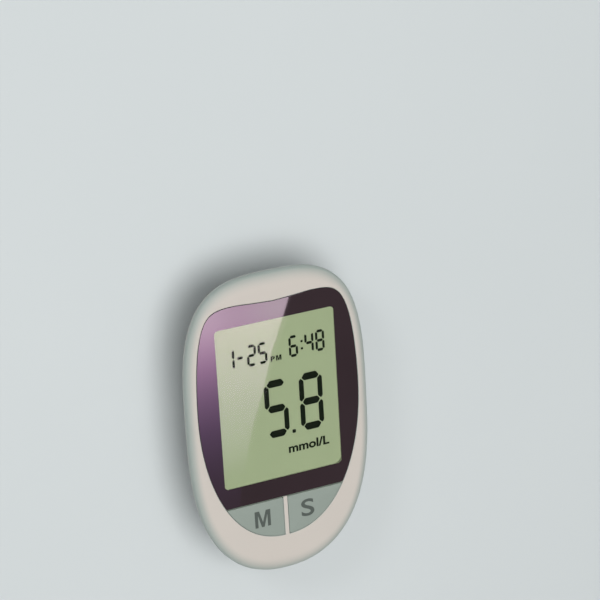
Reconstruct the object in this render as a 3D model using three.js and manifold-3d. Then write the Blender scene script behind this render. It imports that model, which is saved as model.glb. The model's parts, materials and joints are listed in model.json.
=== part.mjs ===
// A hand-held blood glucose meter that lies on its back: an egg-shaped white case in two shells,
// a printed display lens, two keys, the display and its board, a strip port and two battery cells.
// Millimetres. X runs across the meter, Y towards the strip port, Z from the back to the face.
// The origin is the middle of the case's outline, on the plane that the back rests on.
import * as THREE from "three";
import { mergeVertices } from "three/addons/utils/BufferGeometryUtils.js";
import Module from "manifold-3d";

const wasm = await Module();
wasm.setup();

// Gaps between pieces: fit round a piece in its seat, seat under a piece that lies on another
const fit = 0.2;
const seat = 0.1;
// How far a cutting shape runs past what it cuts
const overrun = 1;

// Face layout, from the strip port's end to the other
const view = { width: 39, length: 50.8, corner: 1.3, margin: 1 };
const border = { side: 7, top: 6.6, chin: 6.6 };
const band = { side: 3.5, top: 8.4, bottom: 12 };
const keyZone = { length: 12.6, bar: 1.5 };

// Case: its rim is the widest level, and its front edge and foot are rolled in
const shell = {
  wall: 1.6,
  rimDepth: 2.2,
  sideRoll: 2,
  endRoll: 4.2,
  footRoll: 3.4,
  seamDrop: 1.6,
  lipHeight: 1,
  lipWall: 0.65,
  // How far the wall leans in per length towards the back, and how much more at the top corners
  taperShare: 0.47,
  cornerShare: 0.35,
};
// Where each outline is widest, and the powers of its halves: upper x and y, lower x and y
const caseShape = { wideShare: 0.534, powers: [3.1, 3.4, 2.25, 2.83] };
const lensShape = { wideShare: 0.573, powers: [9.2, 2.0, 2.25, 2.05] };
const lensDip = { depth: 0.85, halfWidth: 14.5 };

// The stack from the back to the face
const door = {
  thickness: 1.6,
  sunk: 0.1,
  margin: 1.4,
  seatWall: 1.2,
  tongue: 0.7,
  tongueThickness: 0.75,
};
const latch = { halfWidth: 5, length: 9, slit: 0.8, ridge: 0.2, ridgeLength: 1.2 };
const grip = { count: 5, pitch: 2, width: 0.9, depth: 0.4, halfWidth: 6, endGap: 13 };
const cell = { radius: 5.25, length: 44.5, button: 1.1, buttonRadius: 1.9, rim: 0.4, gap: 0.5 };
const bay = { play: 0.3, roof: 0.9, wall: 1.2, contactRoom: 5.4, plateRoom: 1.6, tailGap: 16 };
const board = { gap: 0.5, thickness: 1.2, edgeGap: 0.35, hole: 0.8 };
const lcd = {
  floor: 0.5,
  reflector: 0.2,
  glass: 0.8,
  headroom: 0.3,
  margin: 1.5,
  contactLedge: 2.2,
  frameWall: 0.9,
};
const ledge = { thickness: 1, lip: 1.2 };
const tape = { thickness: 0.2, inset: 0.6, least: 0.4 };
const lens = { thickness: 1.2 };

// Keys and the rubber switches under them
const key = { lip: 0.8, flange: 1, headroom: 0.3, travel: 0.8, hook: 0.8, hookLength: 11 };
const rubber = {
  sheet: 0.7,
  inset: 0.9,
  plungerRadius: 1.9,
  pillRadius: 1.5,
  pill: 0.25,
  web: 0.35,
};
// Where the switches stand, across the lens's half width and down the keys
const switchShares = { across: 0.302, down: 0.43 };
// The radius of their holes in the rubber sheet, of the keys' length
const switchHoleShare = 0.27;

// Screws, bosses and posts
const caseScrew = { headRadius: 1.9, head: 1.3, shankRadius: 1, length: 5.5, slot: 0.7, slotDepth: 0.7 };
const boss = { radius: 2.6, rearRadius: 3, pitRadius: 2.2, floor: 1.6, gap: 0.5, pilot: 4.2 };
const bossPlace = { acrossShare: 0.45, doorGap: 0.45, chinGap: 6.1 };
const boardScrew = { headRadius: 1.2, head: 0.8, shankRadius: 0.6, length: 3.8, slot: 0.4, slotDepth: 0.4 };
const post = { radius: 1.45, pilot: 4.1, drop: 3.5 };
// Shape of a screw: its head's chamfer, its tip and the width of its recess
const screwShares = { chamfer: 0.8, chamferHeight: 0.4, tip: 0.4, recess: 0.62 };

// Strip port, its collar and its socket
const port = {
  halfWidth: 7.2,
  below: 2.2,
  above: 2,
  flange: 1.1,
  flangeLip: 1.1,
  slotHalfWidth: 3.7,
  slot: 1.1,
  mouth: 1.6,
  flareShare: 1.2,
};
const socket = { halfWidth: 6.4, length: 8.4, drop: 1.75, under: 1.4, floor: 0.9, pocket: 5.2 };
const contact = { count: 4, width: 0.6, thickness: 0.25, pitch: 1.7, bend: 0.75, tail: 1.4 };

// Battery springs and plates
const plate = { thickness: 0.4, height: 8.4, halfWidth: 4.4, tabWidth: 1.6 };
const dimple = { height: 0.7, radius: 1.6, topShare: 0.7 };
const spring = { wireRadius: 0.33, baseRadius: 3.4, tipRadius: 2, turns: 3.5, cellGap: 0.3 };

// Parts on the board
const chip = {
  size: 7,
  height: 1.3,
  legs: 6,
  legWidth: 0.45,
  legReach: 1,
  legThickness: 0.25,
};
const amplifier = { width: 5, length: 4, height: 1.4, legs: 4 };
const sideGap = 0.7;
const crystal = { radius: 1.5, length: 6 };
const beeper = { radius: 4.2, height: 3.8, hole: 0.8 };
const capacitor = { radius: 2, height: 5, gap: 5 };
const label = { halfWidth: 11, thickness: 0.15, gap: 2, corner: 1 };

// Levels along Z, worked out from the stack
const doorTop = door.sunk + door.thickness;
const cellZ = doorTop + bay.play + cell.radius;
const bayRoof = cellZ + cell.radius + bay.play;
const boardLow = bayRoof + bay.roof + board.gap;
const boardTop = boardLow + board.thickness;
const frameLow = boardTop + seat;
const reflectorLow = frameLow + lcd.floor + seat;
const rearGlassLow = reflectorLow + lcd.reflector + seat;
const frontGlassLow = rearGlassLow + lcd.glass + seat;
const glassTop = frontGlassLow + lcd.glass;
const ledgeLow = glassTop + lcd.headroom;
const ledgeTop = ledgeLow + ledge.thickness;
const tapeLow = ledgeTop + seat;
const lensLow = tapeLow + tape.thickness + seat;
const faceZ = lensLow + lens.thickness;
const innerFaceZ = faceZ - shell.wall;
const rimZ = faceZ - shell.rimDepth;
const seamZ = boardLow - shell.seamDrop;
const screwSeatZ = seamZ - boss.floor;
const slotZ = boardLow - socket.drop;
const flangeTop = innerFaceZ - key.headroom;
const keyUnder = flangeTop - key.flange;
const partTop = boardLow - seat;

// Places along Y and the outlines' half widths, worked out from the face layout
const caseLength =
  band.top + border.top + view.length + border.chin + keyZone.length + band.bottom;
const caseTop = caseLength / 2;
const lensTop = caseTop - band.top;
const viewTop = lensTop - border.top;
const viewLow = viewTop - view.length;
const chinY = viewLow - border.chin;
const keysLow = chinY - keyZone.length;
const caseLow = keysLow - band.bottom;
const viewHalf = view.width / 2;
const lensHalf = viewHalf + border.side;
const caseHalf = lensHalf + band.side;
// Longer than anything here, for cutting shapes that run right through
const far = caseLength;

// The battery bay, its door and the display's frame
const cellX = cell.gap / 2 + cell.radius;
const bayHalf = cellX + cell.radius + bay.play;
const bayOuter = bayHalf + bay.wall;
const bayLow = caseLow + bay.tailGap;
const bayTop = bayLow + bay.contactRoom + cell.length + bay.plateRoom;
const leftCellY = bayLow + bay.contactRoom;
const rightCellY = bayLow + bay.plateRoom;
const doorHalf = bayOuter + door.margin;
const tongueHalf = doorHalf + door.tongue;
const doorEnd = bayTop + bay.wall + door.seatWall;
const frameGap = lcd.margin + fit + lcd.frameWall;
const frameHalf = viewHalf + frameGap;
const frameTop = viewTop + frameGap;
const frameEnd = viewLow - frameGap - lcd.contactLedge;

const plastic = (color, roughness) =>
  new THREE.MeshStandardMaterial({ color, roughness, metalness: 0 });
const metal = (color, roughness) =>
  new THREE.MeshStandardMaterial({ color, roughness, metalness: 1 });
const materials = {
  white: plastic(0xe6e2dc, 0.42),
  print: plastic(0x33262e, 0.08),
  key: plastic(0x8f9c97, 0.5),
  rubber: plastic(0xb9bcb8, 0.8),
  glass: plastic(0xa3ae8c, 0.15),
  film: plastic(0xc9ccb8, 0.3),
  frame: plastic(0xd8d8d2, 0.5),
  board: plastic(0x1f6a3c, 0.45),
  black: plastic(0x1a1a1c, 0.5),
  dark: plastic(0x55585c, 0.5),
  steel: metal(0xb9bbbe, 0.3),
  gold: metal(0xcba24a, 0.3),
  cell: plastic(0x2b4a86, 0.35),
  label: plastic(0xd9dadb, 0.35),
};

// Solids

// A three.js geometry as a solid that can be cut and joined
function solid(geometry) {
  const bare = geometry.clone();
  bare.deleteAttribute("normal");
  bare.deleteAttribute("uv");
  const merged = mergeVertices(bare);
  const corners = merged.index.array;
  const triangles = [];
  for (let i = 0; i < corners.length; i += 3) {
    const [a, b, c] = corners.slice(i, i + 3);
    if (a !== b && b !== c && c !== a) triangles.push(a, b, c);
  }
  return new wasm.Manifold(
    new wasm.Mesh({
      numProp: 3,
      vertProperties: merged.attributes.position.array,
      triVerts: new Uint32Array(triangles),
    }),
  );
}

function geometryOf(body) {
  const { numProp, numVert, vertProperties, triVerts } = body.getMesh();
  const positions = new Float32Array(numVert * 3);
  for (let i = 0; i < numVert; i++) {
    positions.set(vertProperties.subarray(i * numProp, i * numProp + 3), i * 3);
  }
  return new THREE.BufferGeometry()
    .setAttribute("position", new THREE.BufferAttribute(positions, 3))
    .setIndex(new THREE.BufferAttribute(triVerts, 1));
}

function indexed(positions, index) {
  return new THREE.BufferGeometry()
    .setAttribute("position", new THREE.Float32BufferAttribute(positions, 3))
    .setIndex(index);
}

const join = (...bodies) => bodies.reduce((a, b) => a.add(b));
const cut = (body, ...tools) => tools.reduce((a, b) => a.subtract(b), body);
const common = (...bodies) => bodies.reduce((a, b) => a.intersect(b));
const bothSides = (make) => [-1, 1].map(make);

// Rings with as many points each, from the lowest up, closed by a fan at both ends
function loft(rings) {
  const count = rings[0].points.length;
  const positions = rings.flatMap(({ points, z }) => points.flatMap((p) => [p.x, p.y, z]));
  const index = [];
  for (let r = 0; r < rings.length - 1; r++) {
    for (let i = 0; i < count; i++) {
      const a = r * count + i;
      const b = r * count + ((i + 1) % count);
      index.push(a, b, b + count, a, b + count, a + count);
    }
  }
  for (const end of [0, rings.length - 1]) {
    const middle = positions.length / 3;
    const { points, z } = rings[end];
    const centre = points.reduce((sum, p) => sum.add(p), new THREE.Vector2()).divideScalar(count);
    positions.push(centre.x, centre.y, z);
    for (let i = 0; i < count; i++) {
      const a = end * count + i;
      const b = end * count + ((i + 1) % count);
      index.push(middle, ...(end ? [a, b] : [b, a]));
    }
  }
  return solid(indexed(positions, index));
}

const prism = (points, low, high) => loft([{ points, z: low }, { points, z: high }]);

function block(x, y, z) {
  const box = new THREE.BoxGeometry(x[1] - x[0], y[1] - y[0], z[1] - z[0]);
  box.translate((x[0] + x[1]) / 2, (y[0] + y[1]) / 2, (z[0] + z[1]) / 2);
  return solid(box);
}
// A block that is as wide on both sides of the meter's middle
const middleBlock = (half, y, z) => block([-half, half], y, z);

function roundedBlock(half, y, z, corner) {
  const shape = new THREE.Shape();
  const right = half - corner;
  const top = y[1] - corner;
  const low = y[0] + corner;
  shape.absarc(right, low, corner, -Math.PI / 2, 0);
  shape.absarc(right, top, corner, 0, Math.PI / 2);
  shape.absarc(-right, top, corner, Math.PI / 2, Math.PI);
  shape.absarc(-right, low, corner, Math.PI, 1.5 * Math.PI);
  const depth = z[1] - z[0];
  const geometry = new THREE.ExtrudeGeometry(shape, { depth, bevelEnabled: false, curveSegments: 4 });
  geometry.translate(0, 0, z[0]);
  return solid(geometry);
}

function rod(radius, [x, y], low, high, sides = 18) {
  const geometry = new THREE.CylinderGeometry(radius, radius, high - low, sides);
  geometry.rotateX(Math.PI / 2);
  geometry.translate(x, y, (low + high) / 2);
  return solid(geometry);
}

// A turned piece: its profile is [radius, height] points, from the axis out, up and back to it
function turned(profile, sides = 20) {
  const points = profile.map(([radius, height]) => new THREE.Vector2(radius, height));
  return new THREE.LatheGeometry(points, sides);
}

const group = new THREE.Group();
group.name = "blood_glucose_meter";

function add(name, shape, material) {
  const geometry = shape.isBufferGeometry ? shape : geometryOf(shape);
  geometry.computeVertexNormals();
  const mesh = new THREE.Mesh(geometry, material);
  mesh.name = name;
  group.add(mesh);
  return mesh;
}

// Outlines: points that run anticlockwise seen from the face

// An egg: two superellipse halves that share their widest level, as evenly spaced points
function egg(half, low, top, shape) {
  const [upperX, upperY, lowerX, lowerY] = shape.powers;
  const wideY = low + (top - low) * shape.wideShare;
  const fineCount = 1440;
  const pointCount = 80;
  const points = Array.from({ length: fineCount }, (_, i) => {
    const angle = (i / fineCount) * 2 * Math.PI - Math.PI / 2;
    const c = Math.cos(angle);
    const s = Math.sin(angle);
    const reach = s > 0 ? top - wideY : wideY - low;
    const xPower = 2 / (s > 0 ? upperX : lowerX);
    const yPower = 2 / (s > 0 ? upperY : lowerY);
    return new THREE.Vector2(
      half * Math.sign(c) * Math.abs(c) ** xPower,
      wideY + reach * Math.sign(s) * Math.abs(s) ** yPower,
    );
  });
  const curve = new THREE.Path(points);
  curve.closePath();
  return curve.getSpacedPoints(pointCount).slice(0, pointCount);
}

// The outline moved inwards along its normals, by a distance or a function of the normal
function inward(outline, distance) {
  const count = outline.length;
  return outline.map((p, i) => {
    const along = outline[(i + 1) % count].clone().sub(outline[(i + count - 1) % count]).normalize();
    const normal = new THREE.Vector2(along.y, -along.x);
    const by = typeof distance === "function" ? distance(normal) : distance;
    return p.clone().addScaledVector(normal, -by);
  });
}

const caseOutline = egg(caseHalf, caseLow, caseTop, caseShape);
// The lens and the keys share one egg, whose upper edge dips in the middle
const lensOutline = egg(lensHalf, keysLow, lensTop, lensShape).map((p) => {
  const across = Math.abs(p.x) / lensDip.halfWidth;
  const dips = p.y > viewTop && across < 1;
  const dip = dips ? (lensDip.depth * (1 + Math.cos(Math.PI * across))) / 2 : 0;
  return new THREE.Vector2(p.x, p.y - dip);
});

// The case's outside

// How far the case stands in from its rim at a level, facing a way: its lean and the roll of its foot
function hullInset(z, normal) {
  const corner = Math.max(0, 2 * Math.abs(normal.x) * normal.y);
  const lean = (rimZ - z) * shell.taperShare * (1 + shell.cornerShare * corner);
  const intoFoot = Math.max(0, 1 - z / shell.footRoll);
  return lean + shell.footRoll * (1 - Math.sqrt(1 - intoFoot ** 2));
}
const towardsPort = new THREE.Vector2(0, 1);
const towardsSide = new THREE.Vector2(1, 0);

const hullRing = (z, wall) => inward(caseOutline, (normal) => hullInset(z, normal) + wall);
const rollAt = (normal) => shell.sideRoll + (shell.endRoll - shell.sideRoll) * normal.y ** 2;

const footAngles = [0, 22.5, 45, 67.5, 90];
const rollAngles = [0, 18, 36, 54, 72, 90];

// The whole case's outside, or what lies a wall's thickness within it, between two levels
function hull(wall, low, high) {
  const footLevels = footAngles.map(
    (angle) => shell.footRoll * (1 - Math.cos(THREE.MathUtils.degToRad(angle))),
  );
  const levels = [low, ...footLevels.filter((z) => z > low + seat)];
  if (high < rimZ) levels.push(high);
  const rings = levels.map((z) => ({ points: hullRing(z, wall), z }));
  for (const angle of rollAngles.map(THREE.MathUtils.degToRad)) {
    const z = rimZ + shell.rimDepth * Math.sin(angle);
    if (z > high) break;
    const points = inward(caseOutline, (n) => rollAt(n) * (1 - Math.cos(angle)) + wall);
    rings.push({ points, z });
  }
  const last = rings.at(-1);
  if (high > last.z + seat) rings.push({ points: last.points, z: high });
  return loft(rings);
}

const wholeBody = hull(0, 0, faceZ);
const aboveZ = (z) => middleBlock(far, [-far, far], [z, far]);
const belowZ = (z) => middleBlock(far, [-far, far], [-far, z]);
const pastY = (y) => middleBlock(far, [y, far], [-far, far]);
const beforeY = (y) => middleBlock(far, [-far, y], [-far, far]);

// Places of the screws and the port
const upperScrewX = caseHalf * bossPlace.acrossShare;
const lowerScrewX = tongueHalf + fit + bossPlace.doorGap + boss.pitRadius;
const caseScrewPlaces = [
  ...bothSides((side) => [side * upperScrewX, frameTop + boss.gap + boss.radius]),
  ...bothSides((side) => [side * lowerScrewX, chinY - bossPlace.chinGap]),
];
const postX = frameHalf + 2 * fit + post.radius;
const postY = (viewTop + viewLow) / 2 - post.drop;
const boardScrewPlaces = [
  ...bothSides((side) => [side * postX, postY]),
  [0, keysLow - key.lip - 2 * fit - post.radius],
];
const portOuterY = caseTop - hullInset(slotZ, towardsPort);
const flangeOuterY = portOuterY - shell.wall - port.mouth / 2;
const flangeInnerY = flangeOuterY - port.flange;
const socketMouth = flangeInnerY - fit;
const socketBack = socketMouth - socket.length;

// The room of the port's collar in the end wall, larger by a clearance
function collarRoom(gap) {
  const half = port.halfWidth + gap;
  const flangeHalf = half + port.flangeLip;
  const low = slotZ - port.below - gap;
  const high = slotZ + port.above + gap;
  return join(
    middleBlock(half, [flangeInnerY - gap, far], [low, high]),
    middleBlock(flangeHalf, [flangeInnerY - gap, flangeOuterY + gap], [low - port.flangeLip, high]),
  );
}

// The keys' room under the face: their flanges at rest and pressed
function keyRoom() {
  const low = keyUnder - key.travel - fit;
  return common(prism(inward(lensOutline, -key.lip - fit), low, innerFaceZ), beforeY(chinY));
}

// The rear shell's lip, which stands up inside the front shell's wall, larger by a clearance
function caseLip(gap) {
  const low = seamZ - seat - shell.lipWall;
  const high = seamZ + shell.lipHeight + gap;
  const inside = prism(hullRing(seamZ, shell.wall + gap), low - overrun, high + overrun);
  return cut(prism(hullRing(seamZ, shell.wall - shell.lipWall - gap), low, high), inside);
}

// Holes that screws cut their threads in
function pilotHoles(places, screw, low, high) {
  return places.map((place) => rod(screw.shankRadius + fit, place, low - overrun, high, 12));
}

// The bar between the keys, from the ledge under the lens to the end wall
function keyBar() {
  const half = keyZone.bar / 2;
  return join(
    middleBlock(half, [keysLow - overrun, chinY], [innerFaceZ, faceZ]),
    middleBlock(half, [chinY - shell.wall, chinY], [ledgeLow, faceZ]),
    middleBlock(half, [chinY - shell.wall, chinY + ledge.thickness], [ledgeLow, ledgeTop]),
  );
}

function frontCase() {
  const outside = common(wholeBody, aboveZ(seamZ + seat));
  const inside = hull(shell.wall, seamZ - overrun, innerFaceZ);
  const intoFace = faceZ - shell.wall / 2;
  const pad = common(prism(inward(lensOutline, -ledge.lip), ledgeLow, intoFace), pastY(chinY));
  const bosses = caseScrewPlaces.map((place) => rod(boss.radius, place, seamZ + seat, intoFace));
  const posts = boardScrewPlaces.map((place) => rod(post.radius, place, boardTop + seat, intoFace));
  const lensRoom = common(prism(lensOutline, ledgeTop, faceZ + overrun), pastY(chinY));
  const keyHole = common(prism(lensOutline, seamZ, faceZ + overrun), beforeY(chinY));
  const viewHole = roundedBlock(
    viewHalf + view.margin,
    [viewLow - view.margin, viewTop + view.margin],
    [seamZ, faceZ + overrun],
    view.corner,
  );
  const holes = [
    ...pilotHoles(caseScrewPlaces, caseScrew, seamZ, seamZ + boss.pilot),
    ...pilotHoles(boardScrewPlaces, boardScrew, boardTop, boardTop + post.pilot),
  ];
  const body = join(cut(outside, inside), pad, ...bosses, ...posts);
  const rooms = [caseLip(fit), lensRoom, keyHole, keyRoom(), viewHole, collarRoom(fit)];
  const opened = cut(body, ...holes, ...rooms);
  return join(opened, keyBar());
}

// The door's plate and the two tongues that run in the rear shell's grooves, larger by a clearance
function doorRoom(gap, low, high) {
  const tongueLow = doorTop - door.tongueThickness - gap;
  const y = [-far, doorEnd + gap];
  return join(
    middleBlock(doorHalf + gap, y, [low, high]),
    middleBlock(tongueHalf + gap, y, [tongueLow, high]),
  );
}

// Slots in the bay's roof, through which the contacts' tabs reach the board
const plateLowY = bayLow + seat + plate.thickness / 2;
const plateTopY = bayTop - seat - plate.thickness / 2;
function tabSlots() {
  const half = plate.tabWidth / 2 + fit;
  const deep = plate.thickness / 2 + fit;
  const places = [[0, plateLowY], [-cellX, plateTopY], [cellX, plateTopY]];
  return places.map(([x, y]) =>
    block([x - half, x + half], [y - deep, y + deep], [bayRoof - overrun, boardLow]),
  );
}

function rearCase() {
  const outside = common(wholeBody, belowZ(seamZ - seat));
  const inside = hull(shell.wall, shell.wall, seamZ + overrun);
  const bayBox = middleBlock(bayOuter, [bayLow - bay.wall, bayTop + bay.wall], [0, bayRoof + bay.roof]);
  const doorSeat = middleBlock(
    tongueHalf + fit + door.seatWall,
    [-far, doorEnd + fit + door.seatWall],
    [0, doorTop + bay.play + door.seatWall],
  );
  const bosses = caseScrewPlaces.map((place) => rod(boss.rearRadius, place, 0, seamZ - seat));
  const added = [bayBox, doorSeat, ...bosses].map((body) => common(body, wholeBody));
  const pits = caseScrewPlaces.map((place) => rod(boss.pitRadius, place, -overrun, screwSeatZ));
  const screwHoles = pilotHoles(caseScrewPlaces, caseScrew, 0, seamZ + overrun);
  const bayRoom = middleBlock(bayHalf, [bayLow, bayTop], [-overrun, bayRoof]);
  const body = join(cut(outside, inside), caseLip(0), ...added);
  return cut(
    body,
    bayRoom,
    doorRoom(fit, -overrun, doorTop + bay.play),
    latchRoom(),
    ...pits,
    ...screwHoles,
    ...tabSlots(),
    labelBody(seat, -overrun),
    collarRoom(fit),
  );
}

// The latch: a springy tab of the door, with a ridge that sits in a notch of its seat
const ridgeHalf = latch.halfWidth - latch.slit;
const latchRidge = (gap, high) =>
  middleBlock(
    ridgeHalf + gap,
    [doorEnd - latch.ridgeLength - gap, doorEnd + gap],
    [doorTop - seat, high],
  );
const latchRoom = () => latchRidge(fit, doorTop + bay.play + latch.ridge);

function batteryDoor() {
  const body = common(doorRoom(0, door.sunk, doorTop), wholeBody);
  const slits = bothSides((side) => {
    const edges = [side * latch.halfWidth, side * (latch.halfWidth - latch.slit)];
    const x = edges.sort((a, b) => a - b);
    return block(x, [doorEnd - latch.length, far], [-overrun, far]);
  });
  const grips = Array.from({ length: grip.count }, (_, i) => {
    const y = doorEnd - grip.endGap - i * grip.pitch;
    return middleBlock(grip.halfWidth, [y - grip.width, y], [-overrun, door.sunk + grip.depth]);
  });
  return cut(join(body, latchRidge(0, doorTop + latch.ridge)), ...slits, ...grips);
}

// A bare label in a shallow recess of the back, between the door and the end of the flat foot
function labelBody(gap, low) {
  const labelLow = doorEnd + fit + label.gap;
  const labelHigh = caseTop - hullInset(0, towardsPort) - label.gap;
  return roundedBlock(
    label.halfWidth + gap,
    [labelLow - gap, labelHigh + gap],
    [low, seat + label.thickness + gap],
    label.corner,
  );
}

function displayLens() {
  return common(prism(inward(lensOutline, fit), lensLow, faceZ), pastY(chinY + fit));
}

// The tape follows the lens all round, and its window leaves it its least width at the corners
function lensTape() {
  const within = (inset, low, high) =>
    common(prism(inward(lensOutline, inset), low, high), pastY(chinY + inset));
  const edge = fit + tape.inset;
  const window = view.margin + seat;
  const hole = middleBlock(viewHalf + window, [viewLow - window, viewTop + window], [0, far]);
  const sheet = within(edge, tapeLow, tapeLow + tape.thickness);
  return cut(sheet, common(hole, within(edge + tape.least, 0, far)));
}

// A key: its cap fills the opening, its flange lies under the case and its hook under the lens
function keyCap(side) {
  const near = keyZone.bar / 2 + fit;
  const edge = chinY - fit;
  const cap = prism(inward(lensOutline, fit), keyUnder, faceZ);
  const flange = prism(inward(lensOutline, -key.lip), keyUnder, flangeTop);
  const reach = [near, near + key.hookLength];
  const hook = block(
    side > 0 ? reach : reach.map((x) => -x).reverse(),
    [edge - key.hook, edge + fit + key.hook],
    [keyUnder - key.hook, keyUnder],
  );
  const zone = block(side > 0 ? [near, far] : [-far, -near], [-far, edge], [0, far]);
  return join(common(join(cap, flange), zone), hook);
}

const switchX = lensHalf * switchShares.across;
const switchY = chinY - keyZone.length * switchShares.down;
const switchHole = keyZone.length * switchHoleShare;
const rubberLow = boardTop + seat;
const plungerTop = keyUnder - seat;

function rubberSheet() {
  const edge = chinY - key.hook - 2 * fit;
  const outer = prism(inward(lensOutline, rubber.inset), rubberLow, rubberLow + rubber.sheet);
  const holes = bothSides((side) => rod(switchHole, [side * switchX, switchY], 0, far, 24));
  return cut(common(outer, beforeY(edge)), ...holes);
}

// A plunger with its contact pill, which closes the switch on the board
function plunger() {
  const { plungerRadius, pillRadius, pill } = rubber;
  const low = boardTop + key.travel + seat;
  return turned([
    [0, low],
    [pillRadius, low],
    [pillRadius, low + pill],
    [plungerRadius, low + pill],
    [plungerRadius, plungerTop],
    [0, plungerTop],
  ]);
}

// The thin cone that springs a plunger back, from the sheet's hole up to the plunger
function domeWeb() {
  const foot = switchHole - fit;
  const top = rubber.plungerRadius + fit;
  const high = plungerTop - seat;
  const heel = [foot - 2 * rubber.web, rubberLow];
  return turned([
    heel,
    [foot, rubberLow],
    [foot, rubberLow + rubber.web],
    [top + rubber.web, high],
    [top, high],
    [top, high - rubber.web],
    heel,
  ]);
}

function lcdFrame() {
  const inner = frameHalf - lcd.frameWall;
  const pocketLow = frameEnd + lcd.frameWall;
  const box = middleBlock(frameHalf, [frameEnd, frameTop], [frameLow, glassTop]);
  const outer = common(box, hull(shell.wall + fit, 0, innerFaceZ));
  const pocket = middleBlock(inner, [pocketLow, frameTop - lcd.frameWall], [frameLow + lcd.floor, far]);
  const window = middleBlock(viewHalf, [viewLow, viewTop], [0, far]);
  const zebraRoom = middleBlock(inner, [pocketLow, pocketLow + lcd.contactLedge + fit], [0, far]);
  return cut(outer, pocket, window, zebraRoom);
}

// A sheet of the display: the front glass runs on over the rubber contact strip
function displaySheet(low, thickness, contactLedge = 0) {
  const y = [viewLow - lcd.margin - contactLedge, viewTop + lcd.margin];
  return middleBlock(viewHalf + lcd.margin, y, [low, low + thickness]);
}

function zebraStrip() {
  const low = viewLow - lcd.margin - lcd.contactLedge;
  const y = [low + fit, low + lcd.contactLedge - fit];
  return middleBlock(viewHalf, y, [boardTop + seat, frontGlassLow - seat]);
}

function circuitBoard() {
  const sheet = prism(hullRing(boardLow, shell.wall + board.edgeGap), boardLow, boardTop);
  const clear = boss.radius + board.edgeGap;
  const notches = caseScrewPlaces.map((place) => rod(clear, place, 0, far));
  // The lower bosses stand in notches that are open to the board's sides
  for (const [x, y] of caseScrewPlaces.filter(([, y]) => y < chinY)) {
    notches.push(block(x < 0 ? [-far, x] : [x, far], [y - clear, y + clear], [0, far]));
  }
  const holes = boardScrewPlaces.map((place) => rod(board.hole, place, 0, far, 12));
  const portHalf = port.halfWidth + port.flangeLip + board.edgeGap;
  const portNotch = middleBlock(portHalf, [socketMouth, far], [0, far]);
  return cut(sheet, ...notches, ...holes, portNotch);
}

// A chip under the board, about the middle, with legs out of two or all four of its sides
function chipBody({ width, length, height, legs }, fourSides) {
  const body = middleBlock(width / 2, [-length / 2, length / 2], [partTop - height, partTop - seat]);
  const legRow = (side, half, run, alongX) =>
    Array.from({ length: legs }, (_, i) => {
      const middle = ((i + 0.5) / legs - 0.5) * run;
      const across = [middle - chip.legWidth / 2, middle + chip.legWidth / 2];
      const out = [side * (half - chip.legWidth), side * (half + chip.legReach)].sort((a, b) => a - b);
      return block(...(alongX ? [out, across] : [across, out]), [partTop - chip.legThickness, partTop]);
    });
  const rows = bothSides((side) => legRow(side, width / 2, length, true));
  if (fourSides) rows.push(...bothSides((side) => legRow(side, length / 2, width, false)));
  return join(body, ...rows.flat());
}

function beeperBody(place) {
  const can = rod(beeper.radius, place, partTop - beeper.height, partTop, 28);
  return cut(can, rod(beeper.hole, place, 0, partTop - beeper.height / 2, 12));
}

// The slot that takes the test strip, in the collar and on into the socket
const stripSlot = (from) =>
  middleBlock(port.slotHalfWidth, [from, far], [slotZ - port.slot / 2, slotZ + port.slot / 2]);

function stripSocket() {
  const low = slotZ - port.slot / 2 - socket.floor;
  const body = middleBlock(socket.halfWidth, [socketBack, socketMouth], [low, partTop]);
  const pocket = middleBlock(
    port.slotHalfWidth,
    [socketBack - overrun, socketBack + socket.pocket],
    [slotZ, partTop - fit],
  );
  return cut(body, stripSlot(socketBack + socket.under), pocket);
}

// One bent leaf of the socket, drawn as its outline in Y and Z and given its width along X
function stripContact() {
  const { thickness, bend, tail, width } = contact;
  const roof = partTop - fit - seat;
  const back = socketBack + socket.under / 2;
  const tip = back + socket.pocket - socket.under;
  const knee = (back + tip) / 2;
  const kneeZ = slotZ + bend / 2;
  const tipZ = slotZ + bend;
  const leaf = [
    [back - tail, roof - thickness],
    [back, roof - thickness],
    [knee, kneeZ - thickness],
    [tip, tipZ - thickness / 2],
    [tip, tipZ + thickness / 2],
    [knee, kneeZ + thickness / 2],
    [back + thickness, roof],
    [back - tail, roof],
  ];
  const shape = new THREE.Shape(leaf.map(([y, z]) => new THREE.Vector2(y, z)));
  const geometry = new THREE.ExtrudeGeometry(shape, { depth: width, bevelEnabled: false });
  // The shape's x and y become the meter's Y and Z, and its depth the meter's X
  const turn = new THREE.Matrix4().set(0, 0, 1, -width / 2, 1, 0, 0, 0, 0, 1, 0, 0, 0, 0, 0, 1);
  return geometry.applyMatrix4(turn);
}

// The port's mouth, which widens outwards to guide the strip in
function portMouth() {
  const ring = (grow, y) => {
    const x = port.slotHalfWidth + grow;
    const z = port.slot / 2 + grow;
    return [[-x, y, slotZ - z], [x, y, slotZ - z], [x, y, slotZ + z], [-x, y, slotZ + z]];
  };
  const inner = ring(0, portOuterY - port.mouth);
  const outer = ring(port.mouth * port.flareShare, portOuterY + overrun);
  const ends = [0, 1, 2, 0, 2, 3, 4, 6, 5, 4, 7, 6];
  const sides = [0, 1, 2, 3].flatMap((a) => {
    const b = (a + 1) % 4;
    return [a, a + 4, b + 4, a, b + 4, b];
  });
  return solid(indexed([...inner, ...outer].flat(), [...ends, ...sides]));
}

function portCollar() {
  return cut(common(collarRoom(0), hull(seat, 0, faceZ)), stripSlot(0), portMouth());
}

// Battery cells and contacts

function batteryCell() {
  const { radius, length, button, buttonRadius, rim } = cell;
  const can = length - button;
  return turned(
    [
      [0, 0],
      [radius - rim, 0],
      [radius, rim],
      [radius, can - rim],
      [radius - rim, can],
      [buttonRadius, can],
      [buttonRadius, length],
      [0, length],
    ],
    24,
  );
}

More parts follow.
